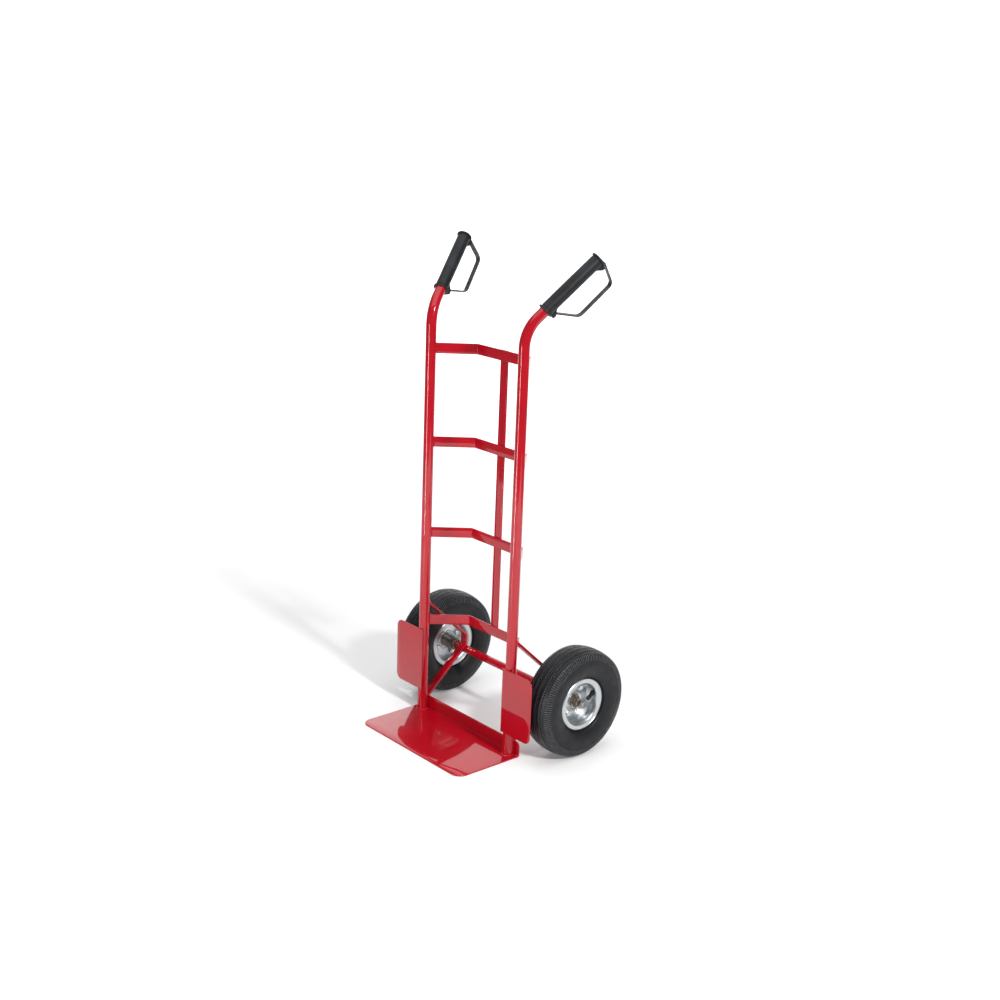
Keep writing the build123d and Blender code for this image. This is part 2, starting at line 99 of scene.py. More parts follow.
def rounded_path(
    points: Sequence[Sequence[float]], radii: Sequence[float], turn_step: float = 6.0
) -> Array:
    """A polyline with each inner corner replaced by a tangent arc of its own radius.

    The arc's centre lies on the corner's bisector, the radius over the cosine of half the turn
    away, and its points are centre + radius times (cos t, sin t) in the plane of the two runs.

    Args:
        points: corners, in two or three coordinates.
        radii: one radius per inner corner.
        turn_step: largest turn between two points of an arc, in degrees.

    Returns:
        The points of the path, one per row.
    """
    corners = np.asarray(points, float)
    pieces = [corners[:1]]
    for before, corner, after, radius in zip(corners, corners[1:], corners[2:], radii):
        back, ahead = unit(before - corner), unit(after - corner)
        turn = math.pi - math.acos(float(np.clip(back @ ahead, -1.0, 1.0)))
        centre = corner + unit(back + ahead) * radius / math.cos(turn / 2)
        outward = unit(corner + back * radius * math.tan(turn / 2) - centre)
        t = np.linspace(0.0, turn, max(2, math.ceil(math.degrees(turn) / turn_step)) + 1)[:, None]
        pieces.append(centre + radius * (np.cos(t) * outward - np.sin(t) * back))
    pieces.append(corners[-1:])
    return np.concatenate(pieces)


def three_point_arc(
    start: Sequence[float], middle: Sequence[float], end: Sequence[float], count: int
) -> Array:
    """Points evenly along the circle through three points of a plane.

    The centre solves the two equations that say it is as far from the first point as from each
    of the others; the points then turn steadily about it.

    Args:
        start: first point.
        middle: a point between the ends.
        end: last point.
        count: number of points, ends included.

    Returns:
        The points, one per row.
    """
    a, b, c = (np.asarray(p, float) for p in (start, middle, end))
    centre = np.linalg.solve(2 * np.array([b - a, c - a]), [b @ b - a @ a, c @ c - a @ a])
    angles = np.unwrap([math.atan2(*(p - centre)[::-1]) for p in (a, b, c)])
    t = np.linspace(angles[0], angles[2], count)
    return centre + np.hypot(*(a - centre)) * np.stack([np.cos(t), np.sin(t)], -1)


def slab(width: float | Array, height: float | Array, corner: float, count: int = 4) -> Array:
    """The outline of a rectangle with round corners, as a closed loop.

    Each corner is a quarter circle about a point that lies the corner radius inside both edges.

    Args:
        width: along the first coordinate, a number or one per section.
        height: along the second coordinate, a number or one per section.
        corner: radius of the corners.
        count: points per corner.

    Returns:
        Points, with the loop on the last axis but one.
    """
    t = np.linspace(0.0, math.pi / 2, count)
    angle = np.concatenate([t + k * math.pi / 2 for k in range(4)])
    sign_x = np.repeat([1, -1, -1, 1], count)
    sign_y = np.repeat([1, 1, -1, -1], count)
    x = sign_x * (np.asarray(width)[..., None] / 2 - corner) + corner * np.cos(angle)
    y = sign_y * (np.asarray(height)[..., None] / 2 - corner) + corner * np.sin(angle)
    return np.stack(np.broadcast_arrays(x, y), -1)


def circle(radius: float, count: int) -> Array:
    """A closed loop of count points on a circle, one per row."""
    t = np.arange(count) * 2 * math.pi / count
    return radius * np.stack([np.cos(t), np.sin(t)], -1)


def refine_ends(path: Array, reach: float, count: int = 5) -> Array:
    """The path with extra points near both ends, bunched towards them, so an end can be rounded.

    Args:
        path: points along the path.
        reach: distance from each end that gets the points.
        count: points per end.

    Returns:
        The longer path.
    """
    t = (1 - np.cos(np.linspace(0, math.pi / 2, count)))[:, None] * reach
    first = path[0] + unit(path[1] - path[0]) * t
    last = path[-1] + unit(path[-2] - path[-1]) * t[::-1]
    far = [np.linalg.norm(path - end, axis=1) > reach * 1.001 for end in (path[0], path[-1])]
    return np.concatenate([first, path[far[0] & far[1]], last])


def end_round(path: Array, radius: float, at_start: bool = True, at_end: bool = True) -> Array:
    """How far an edge steps in along a path so that its ends are quarter circles.

    At distance s from an end the step is radius minus the root of (radius squared minus
    (radius - s) squared), and none beyond the radius.

    Args:
        path: points along the path.
        radius: of the quarter circles.
        at_start: round the first end.
        at_end: round the last end.

    Returns:
        One step per point.
    """
    run = np.concatenate([[0.0], np.cumsum(np.linalg.norm(np.diff(path, axis=0), axis=1))])
    step = np.zeros(len(path))
    for wanted, distance in ((at_start, run), (at_end, run[-1] - run)):
        inside = radius - np.minimum(distance, radius)
        step += wanted * (radius - np.sqrt(np.maximum(radius**2 - inside**2, 0.0)))
    return step


def sweep(path: Array, loop: Array, normal: Sequence[float], inset: tuple = (0.0, 0.0)) -> Array:
    """A closed loop carried along a path that lies in one plane.

    A ring is the path's point + loop x times the plane's normal + loop y times the side, which is
    the normal crossed with the path's tangent. Each coordinate first shrinks by the inset.

    Args:
        path: points along the path, one per row.
        loop: the section, one point per row.
        normal: the plane's normal.
        inset: how far the section's two half-sizes shrink, a number or one per point.

    Returns:
        Grid of points: along the path, round the loop, coordinates.
    """
    normal = unit(np.asarray(normal, float))
    side = unit(np.cross(normal, np.gradient(path, axis=0)))
    steps = [np.broadcast_to(np.asarray(i, float), len(path))[:, None] for i in inset]
    x, y = (np.sign(loop[:, k]) * np.maximum(np.abs(loop[:, k]) - steps[k], 0.0) for k in (0, 1))
    return path[:, None] + x[..., None] * normal + y[..., None] * side[:, None]


def lathe(profile: Array, count: int) -> Array:
    """A profile of (place along X, radius) turned about X.

    A point is (place, radius cos t, radius sin t).

    Args:
        profile: the profile, one point per row.
        count: steps round the axis.

    Returns:
        Grid of points: round the axis, along the profile, coordinates.
    """
    t = (np.arange(count) * 2 * math.pi / count)[:, None]
    place, radius = profile[:, 0], profile[:, 1]
    return joined(place, radius * np.cos(t), radius * np.sin(t))


def sheet_loop(path: Array, thickness: float) -> Array:
    """A closed loop round a sheet seen on edge: the path moved half the thickness to both sides.

    Args:
        path: the middle of the sheet, in two coordinates.
        thickness: of the sheet.

    Returns:
        The loop's points, one per row.
    """
    tangent = unit(np.gradient(path, axis=0))
    side = np.stack([-tangent[:, 1], tangent[:, 0]], -1) * thickness / 2
    return np.concatenate([path + side, (path - side)[::-1]])


def chamfered_ring(inner: float, outer: float, start: float, end: float, chamfer: float) -> Array:
    """The closed profile of a ring from start to end along its axis, its four edges broken."""
    loop = slab(end - start, outer - inner, chamfer, 3)
    return loop + [(start + end) / 2, (inner + outer) / 2]


# ---- meshes


@dataclass
class Surface:
    """Grids of points gathered into one mesh."""

    points: list[Array] = field(default_factory=list)
    faces: list[list[int]] = field(default_factory=list)
    count: int = 0
    # share of a painted highlight per point, kept as a point attribute for the material
    rib_highlight: Array | None = None

    def add(self, grid: Array, wrap: tuple[bool, bool] = (False, True), caps: bool = True) -> "Surface":
        """Adds one grid of points as quads, and closes its ends.

        Args:
            grid: points on two parameters.
            wrap: whether the first and the second parameter close on themselves.
            caps: close the first and last loop with a flat face.

        Returns:
            This surface, so that calls can follow each other.
        """
        rows, columns = grid.shape[:2]
        index = np.arange(rows * columns).reshape(rows, columns) + self.count
        if wrap[0]:
            index = np.concatenate([index, index[:1]])
        if wrap[1]:
            index = np.concatenate([index, index[:, :1]], 1)
        quads = np.stack([index[:-1, :-1], index[1:, :-1], index[1:, 1:], index[:-1, 1:]], -1)
        self.faces += quads.reshape(-1, 4).tolist()
        if caps and not wrap[0]:
            loops = index[:, :-1] if wrap[1] else index
            self.faces += [loops[0].tolist(), loops[-1][::-1].tolist()]
        self.points.append(grid.reshape(-1, 3))
        self.count += rows * columns
        return self

    def build(self, name: str, place: Place | None = None, sharp: float = 32.0) -> bpy.types.Object:
        """Makes the mesh, merges its doubles and turns its faces outwards.

        Args:
            name: the object's name.
            place: moves the points from the surface's own frame to the truck's.
            sharp: edges that turn more than this many degrees stay sharp.

        Returns:
            The new object, at the origin.
        """
        points = np.concatenate(self.points)
        mesh = bpy.data.meshes.new(name)
        mesh.from_pydata((place(points) if place else points).tolist(), [], self.faces)
        # the painted highlight share goes on the mesh as a point attribute
        if self.rib_highlight is not None:
            mesh.attributes.new("rib_highlight", "FLOAT", "POINT").data.foreach_set("value", self.rib_highlight.ravel())
        shape = bmesh.new()
        shape.from_mesh(mesh)
        bmesh.ops.remove_doubles(shape, verts=shape.verts, dist=2e-6)
        bmesh.ops.dissolve_degenerate(shape, edges=shape.edges, dist=1e-6)
        bmesh.ops.recalc_face_normals(shape, faces=shape.faces)
        shape.to_mesh(mesh)
        shape.free()
        mesh.polygons.foreach_set("use_smooth", np.ones(len(mesh.polygons), bool))
        mesh.set_sharp_from_angle(angle=math.radians(sharp))
        piece = bpy.data.objects.new(name, mesh)
        bpy.context.scene.collection.objects.link(piece)
        return piece


def mirrored(side: Side) -> Place:
    """The move from the right-hand side to the given side."""
    return lambda points: points * [side.value, 1.0, 1.0]


def middle(node: str) -> Array:
    """The middle of a CAD node's box."""
    low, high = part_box(node)
    return np.array([(a + b) / 2 for a, b in zip(low, high)])


def dress(
    piece: bpy.types.Object, finish: "Finish", body: str, nodes: Sequence[str] = ()
) -> None:
    """Gives a new piece its finish and its body, and lets it stand for CAD nodes.

    Args:
        piece: the new piece.
        finish: what it is made of.
        body: the CAD body that it rides on.
        nodes: the CAD nodes that it replaces.
    """
    piece.data.materials.clear()
    piece.data.materials.append(finish.material)
    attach(piece, body)
    if nodes:
        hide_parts(*nodes)
    LOG.info("%s: %d faces on %s", piece.name, len(piece.data.polygons), body)


# ---- finishes


class Graph:
    """A material's nodes, added one after another."""

    def __init__(self, name: str, **values: object) -> None:
        """Starts a material whose shader sockets hold plain values.

        Args:
            name: the material's name.
            values: socket values of the shader, with _ for a space in the socket's name.
        """
        self.material = bpy.data.materials.new(name)
        self.material.use_nodes = True
        self.tree = self.material.node_tree
        self.shader = self.tree.nodes["Principled BSDF"]
        for key, value in values.items():
            self.shader.inputs[key.replace("_", " ")].default_value = value
        self.place = self.node("ShaderNodeTexCoord").outputs["Object"]

    def node(self, kind: str, inputs: dict | None = None, **settings: object) -> bpy.types.Node:
        """Adds a node.

        Args:
            kind: the node's type.
            inputs: a value or a socket for each named input.
            settings: attributes of the node.

        Returns:
            The node.
        """
        made = self.tree.nodes.new(kind)
        for key, value in settings.items():
            setattr(made, key, value)
        for key, value in (inputs or {}).items():
            if isinstance(value, bpy.types.NodeSocket):
                self.tree.links.new(value, made.inputs[key])
            else:
                made.inputs[key].default_value = value
        return made

    def noise(
        self, scale: float, detail: float = 3.0, rough: float = 0.5, place: object = None
    ) -> object:
        """Noise with a scale in waves per metre, at the object's own coordinates or at place."""
        inputs = {"Vector": place or self.place, "Scale": scale, "Detail": detail, "Roughness": rough}
        return self.node("ShaderNodeTexNoise", inputs).outputs["Fac"]

    def ramp(
        self, value: object, low: float, high: float, start: float = 0.0, end: float = 1.0
    ) -> object:
        """A value stretched so that low gives start and high gives end, and held beyond them."""
        inputs = {"Value": value, "From Min": low, "From Max": high, "To Min": start, "To Max": end}
        return self.node("ShaderNodeMapRange", inputs, clamp=True).outputs["Result"]

    def mix(self, share: object, first: object, second: object) -> object:
        """A colour between two colours, each a socket or a value: the first where share is 0."""
        inputs = {0: share, 6: first, 7: second}
        return self.node("ShaderNodeMix", inputs, data_type="RGBA").outputs[2]

    def sum(self, first: object, second: object, operation: str = "ADD") -> object:
        """Two sockets or numbers added, or joined by another operation of the Math node."""
        return self.node("ShaderNodeMath", {0: first, 1: second}, operation=operation).outputs[0]

    def product(self, first: object, second: object) -> object:
        """Two sockets or numbers multiplied."""
        return self.sum(first, second, "MULTIPLY")

    def bump(
        self, height: object, distance: float, strength: float = 1.0, after: object = None
    ) -> object:
        """A bump from a height.

        Args:
            height: socket of the height, from 0 to 1.
            distance: what a height of 1 stands for, in metres.
            strength: share of the bump.
            after: a bump under this one.

        Returns:
            The normal's socket.
        """
        inputs = {"Height": height, "Distance": distance, "Strength": strength}
        if after is not None:
            inputs["Normal"] = after
        return self.node("ShaderNodeBump", inputs).outputs["Normal"]

    def wire(self, **sockets: object) -> bpy.types.Material:
        """Links sockets to the shader and gives the material.

        Args:
            sockets: the shader's inputs by name, with _ for a space.

        Returns:
            The finished material.
        """
        for key, socket in sockets.items():
            self.tree.links.new(socket, self.shader.inputs[key.replace("_", " ")])
        return self.material


def shade(red: float, green: float, blue: float) -> tuple[float, float, float, float]:
    """A colour as a node socket takes it."""
    return (red, green, blue, 1.0)


@dataclass(frozen=True)
class Finish:
    """A finish: the record's slot and the material that shows it."""

    slot: str
    material: bpy.types.Material


@dataclass(frozen=True)
class RedEnamel:
    """Glossy red enamel, stoved on: faint orange peel, slow drifts of shade and a few fine rubs."""

    red: tuple = shade(0.44, 0.0025, 0.012)
    deep: tuple = shade(0.39, 0.002, 0.010)
    rubbed: tuple = shade(0.43, 0.015, 0.022)
    peel: float = 330.0
    peel_depth: float = 0.00003
    rub_stretch: float = 14.0
    rub_share: float = 0.35

    def make(self) -> Finish:
        """Builds the material."""
        coat = {"Coat_Weight": 1.0, "Coat_Roughness": 0.03, "Coat_IOR": 1.55}
        g = Graph("red_enamel", Specular_IOR_Level=0.05, **coat)
        drift = g.ramp(g.noise(9.0, 4.0), 0.35, 0.65)
        colour = g.mix(drift, self.deep, self.red)
        scale = (1.0, 1.0, self.rub_stretch)
        stretched = g.node("ShaderNodeMapping", {"Vector": g.place, "Scale": scale})
        rubs = g.ramp(g.noise(70.0, 6.0, 0.62, stretched.outputs["Vector"]), 0.66, 0.74)
        patches = g.ramp(g.noise(6.0, 2.0), 0.5, 0.62)
        rub = g.product(rubs, patches)
        colour = g.mix(g.product(rub, self.rub_share), colour, self.rubbed)
        rough = g.sum(g.ramp(g.noise(40.0, 5.0), 0.3, 0.7, 0.3, 0.42), g.product(rub, 0.2))
        peel = g.bump(g.noise(self.peel, 2.0), self.peel_depth, 0.6)
        made = g.wire(Base_Color=colour, Roughness=rough, Normal=peel, Coat_Normal=peel)
        return Finish("red_enamel", made)


@dataclass(frozen=True)
class ZincPlate:
    """Bright zinc on pressed steel: fine rings from the press, faint clouds and a cool cast."""

    bright: tuple = shade(0.56, 0.585, 0.60)
    cloudy: tuple = shade(0.38, 0.40, 0.43)
    ring_scale: float = 700.0
    axle: tuple = (0.0, 0.0)

    def make(self) -> Finish:
        """Builds the material, with rings about the axle through the given Y and Z."""
        g = Graph("zinc_plate", Metallic=1.0)
        shift = (0.0, -self.axle[0], -self.axle[1])
        centre = g.node("ShaderNodeMapping", {"Vector": g.place, "Location": shift})
        parts = g.node("ShaderNodeSeparateXYZ", {"Vector": centre.outputs["Vector"]})
        squares = [g.sum(parts.outputs[axis], 2.0, "POWER") for axis in ("Y", "Z")]
        radius = g.sum(g.sum(*squares), 0.5, "POWER")
        rings_at = g.node("ShaderNodeCombineXYZ", {"X": parts.outputs["X"], "Y": radius, "Z": 0.0})
        rings = g.noise(self.ring_scale, 4.0, 0.7, rings_at.outputs["Vector"])
        clouds = g.ramp(g.noise(38.0, 5.0, 0.6), 0.36, 0.64)
        spangle = g.node("ShaderNodeTexVoronoi", {"Vector": g.place, "Scale": 160.0}).outputs["Color"]
        tone = g.ramp(spangle, 0.0, 1.0, 0.0, 0.35)
        colour = g.mix(g.product(clouds, tone), self.bright, self.cloudy)
        rough = g.sum(g.ramp(rings, 0.3, 0.7, 0.22, 0.32), g.ramp(clouds, 0.0, 1.0, 0.0, 0.12))
        normal = g.bump(rings, 0.00003, 0.35, g.bump(g.noise(120.0, 3.0), 0.00012, 0.3))
        return Finish("zinc_plate", g.wire(Base_Color=colour, Roughness=rough, Normal=normal))


@dataclass(frozen=True)
class Rubber:
    """Moulded black rubber: a fine grain, a slow bloom of grey and a painted highlight on high spots.

    A mesh may carry a painted highlight share per point, 1 on the high spots and 0 in the grooves.
    """

    slot: str
    name: str
    dark: tuple = shade(0.006, 0.0062, 0.007)
    bloom: tuple = shade(0.02, 0.0205, 0.023)
    # painted highlight colour: a pale grey for the light that rib tops and edges catch
    highlight_grey: tuple = shade(0.12, 0.125, 0.137)
    rough: tuple = (0.42, 0.62)
    grain: float = 900.0
    depth: float = 0.00006
    specular: float = 0.3

    def make(self) -> Finish:
        """Builds the material."""
        g = Graph(self.name, Specular_IOR_Level=self.specular)
        cloud = g.ramp(g.noise(24.0, 6.0, 0.6), 0.32, 0.72)
        fleck = g.ramp(g.noise(420.0, 3.0), 0.45, 0.75, 0.0, 0.5)
        bloom = g.sum(g.product(cloud, 0.7), g.product(fleck, 0.35))
        colour = g.mix(bloom, self.dark, self.bloom)
        # painted highlight: the mesh's share, speckled by noise, mixes in the pale grey on rib tops and
        # groove edges
        rib_highlight = g.node("ShaderNodeAttribute", attribute_name="rib_highlight").outputs["Fac"]
        glint_share = g.product(rib_highlight, g.ramp(g.noise(320.0, 3.0), 0.36, 0.62, 0.25, 1.0))
        colour = g.mix(g.product(glint_share, 0.85), colour, self.highlight_grey)
        rough = g.ramp(g.noise(60.0, 5.0), 0.3, 0.7, *self.rough)
        grain = g.bump(g.noise(self.grain, 4.0, 0.6), self.depth, 0.5)
        return Finish(self.slot, g.wire(Base_Color=colour, Roughness=rough, Normal=grain))


@dataclass(frozen=True)
class Satin:
    """A satin surface: two shades in slow clouds, uneven gloss and a fine grain.

    Clouds and gloss are noises, given as waves per metre and octaves; the grain is given as waves
    per metre, depth in metres and strength.
    """

    slot: str
    shader: dict
    shades: tuple[tuple, tuple]
    cloud: tuple[float, float]
    gloss: tuple[float, float]
    rough: tuple[float, float]
    grain: tuple[float, float, float]

    def make(self) -> Finish:
        """Builds the material."""
        g = Graph(self.slot, **self.shader)
        colour = g.mix(g.ramp(g.noise(*self.cloud), 0.35, 0.7), *self.shades)
        rough = g.ramp(g.noise(*self.gloss), 0.3, 0.7, *self.rough)
        scale, depth, strength = self.grain
        grain = g.bump(g.noise(scale), depth, strength)
        return Finish(self.slot, g.wire(Base_Color=colour, Roughness=rough, Normal=grain))


@dataclass(frozen=True)
class WeatheredSteel:
    """Bare steel with a brown bloom of rust: grey where it is rubbed, matt where it is rusty."""

    name: str = "weathered_steel"
    rusty_from: float = 0.40
    rust: tuple = (shade(0.07, 0.035, 0.016), shade(0.16, 0.09, 0.045))
    steel: tuple = (shade(0.26, 0.235, 0.20), shade(0.48, 0.46, 0.43))

    def make(self) -> Finish:
        """Builds the material."""
        g = Graph(self.name)
        rust = g.ramp(g.noise(210.0, 7.0, 0.65), self.rusty_from, self.rusty_from + 0.18)
        tint = g.mix(g.ramp(g.noise(500.0, 4.0), 0.35, 0.65), *self.rust)
        steel = g.mix(g.ramp(g.noise(90.0, 3.0), 0.3, 0.7), *self.steel)
        colour = g.mix(rust, steel, tint)
        metal = g.ramp(rust, 0.0, 1.0, 1.0, 0.25)
        rough = g.ramp(rust, 0.0, 1.0, 0.32, 0.78)
        normal = g.bump(g.noise(700.0, 5.0, 0.65), 0.0001, 0.7)
        made = g.wire(Base_Color=colour, Metallic=metal, Roughness=rough, Normal=normal)
        return Finish("weathered_steel", made)


@dataclass(frozen=True)
class GroundSteel:
    """Ground and oiled steel of the needle rollers."""

    def make(self) -> Finish:
        """Builds the material."""
        g = Graph("roller_steel", Metallic=1.0)
        oil = g.ramp(g.noise(260.0, 4.0), 0.4, 0.65)
        colour = g.mix(oil, shade(0.62, 0.62, 0.61), shade(0.36, 0.31, 0.22))
        rough = g.ramp(oil, 0.0, 1.0, 0.16, 0.3)
        grain = g.bump(g.noise(900.0), 0.00002, 0.5)
        return Finish("roller_steel", g.wire(Base_Color=colour, Roughness=rough, Normal=grain))


@dataclass(frozen=True)
class Finishes:
    """Every finish of the truck."""

    red: Finish
    zinc: Finish
    tyre: Finish
    soft_rubber: Finish
    grip: Finish
    guard: Finish
    rust: Finish
    hub_steel: Finish
    rollers: Finish
    plastic: Finish

    @classmethod
    def make(cls, axle: tuple[float, float]) -> "Finishes":
        """Builds them all.

        Args:
            axle: Y and Z of the axle, which the zinc's rings run round.

        Returns:
            The finishes.
        """
        return cls(
            red=RedEnamel().make(),
            zinc=ZincPlate(axle=axle).make(),
            tyre=Rubber(
                "tyre_rubber",
                "tyre_rubber",
                dark=shade(0.004, 0.0042, 0.005),
                bloom=shade(0.014, 0.0147, 0.018),
                rough=(0.36, 0.56),
            ).make(),
            soft_rubber=Rubber("soft_rubber", "soft_rubber", rough=(0.5, 0.7)).make(),
            grip=Rubber(
                "grip_rubber", "grip_rubber", bloom=shade(0.022, 0.024, 0.03), rough=(0.36, 0.5)
            ).make(),
            guard=Satin(
                "guard_steel",
                shader={"Metallic": 0.4},
                shades=(shade(0.03, 0.031, 0.033), shade(0.08, 0.082, 0.084)),
                cloud=(45.0, 5.0),
                gloss=(150.0, 4.0),
                rough=(0.28, 0.46),
                grain=(500.0, 0.00004, 0.5),
            ).make(),
            rust=WeatheredSteel().make(),
            hub_steel=WeatheredSteel("hub_steel", 0.56).make(),
            rollers=GroundSteel().make(),
            plastic=Satin(
                "black_plastic",
                shader={"Specular_IOR_Level": 0.45},
                shades=(shade(0.012, 0.012, 0.013), shade(0.03, 0.03, 0.032)),
                cloud=(120.0, 4.0),
                gloss=(300.0, 3.0),
                rough=(0.38, 0.55),
                grain=(1100.0, 0.00004, 0.6),
            ).make(),
        )


# ---- weld beads


@dataclass(frozen=True)
class Bead:
    """A hand-laid weld bead: overlapping puddles along a seam."""

    radius: float = 2.0 * MM
    pitch: float = 2.6 * MM
    around: int = 10
    steps: int = 6
    valley: float = 0.8
    wander: float = 0.09
    blunt: float = 0.02
    seed: int = 7

    def grid(self, path: Array, closed: bool = False) -> Array:
        """The bead's surface along a path.

        The radius rises from a valley to the bead's own with the root of |sin| of the run over
        the pitch, which makes a row of puddles. A slow seeded wander scales it, and it tapers to
        almost nothing at the ends of an open seam.

        Args:
            path: points along the seam.
            closed: whether the seam closes on itself.

        Returns:
            Grid of points: along the seam, round the bead, coordinates.
        """
        ends = np.concatenate([path, path[:1]]) if closed else path
        run = np.concatenate([[0.0], np.cumsum(np.linalg.norm(np.diff(ends, axis=0), axis=1))])
        puddles = max(3, round(run[-1] / self.pitch))
        places = np.linspace(0.0, run[-1], puddles * self.steps + 1)
        spots = np.stack([np.interp(places, run, ends[:, k]) for k in range(3)], -1)
        phase = places / run[-1] * puddles
        wander = np.random.default_rng(self.seed).normal(0.0, self.wander, puddles + 1)
        wander = np.interp(phase, np.arange(puddles + 1), wander)
        puddle = np.sqrt(np.abs(np.sin(math.pi * phase)))
        radius = self.radius * (self.valley + (1 - self.valley) * puddle) * (1.0 + wander)
        if closed:
            spots, radius = spots[:-1], radius[:-1]
            tangent = unit(np.roll(spots, -1, 0) - np.roll(spots, 1, 0))
        else:
            tangent = unit(np.gradient(spots, axis=0))
            from_end = np.minimum(places, run[-1] - places)
            radius = radius * np.sqrt(np.clip(from_end / self.radius, self.blunt, 1.0))
        across = unit(np.cross(tangent, OFF_AXIS))
        other = np.cross(tangent, across)
        ring = circle(1.0, self.around)
        turned = ring[:, 0, None] * across[:, None] + ring[:, 1, None] * other[:, None]
        return spots[:, None] + radius[:, None, None] * turned


# ---- the welded frame


@dataclass(frozen=True)
class HandleFrame:
    """Where a grip sits: its own frame has Z along the grip, Y to the knuckle guard, X outwards."""

    rail_x: float
    bend_height: float = 961.0 * MM
    bend_radius: float = 90.0 * MM
    angle: float = math.radians(46.4)
    splay: float = math.radians(24.0)
    neck: float = 20.0 * MM
    twist: float = math.radians(16.6)

    @property
    def along(self) -> Array:
        """The grip's direction before the handle is splayed."""
        return np.array([0.0, math.sin(self.angle), math.cos(self.angle)])

    @property
    def bend_end(self) -> Array:
        """The end of the rail's bend before the handle is splayed."""
        across = self.bend_radius * (1 - math.cos(self.angle))
        return np.array([0.0, across, self.bend_height + self.bend_radius * math.sin(self.angle)])

    def splayed(self, points: Array) -> Array:
        """Turns points about the rail's own upright axis and moves them to the rail."""
        c, s = math.cos(self.splay), math.sin(self.splay)
        x, y = points[..., 0], points[..., 1]
        return np.stack([self.rail_x + x * c + y * s, y * c - x * s, points[..., 2]], -1)

    def from_grip(self, points: Array) -> Array:
        """Moves points from the grip's own frame to the right-hand rail.

        Args:
            points: in the grip's frame.

        Returns:
            The same points in the truck's frame.
        """
        c, s = math.cos(self.twist), math.sin(self.twist)
        x, y = points[..., 0] * c - points[..., 1] * s, points[..., 0] * s + points[..., 1] * c
        across = np.array([1.0, 0.0, 0.0])
        down = np.cross(self.along, across)
        start = self.bend_end + self.along * self.neck
        spots = start + x[..., None] * across + y[..., None] * down + points[..., 2:] * self.along
        return self.splayed(spots)


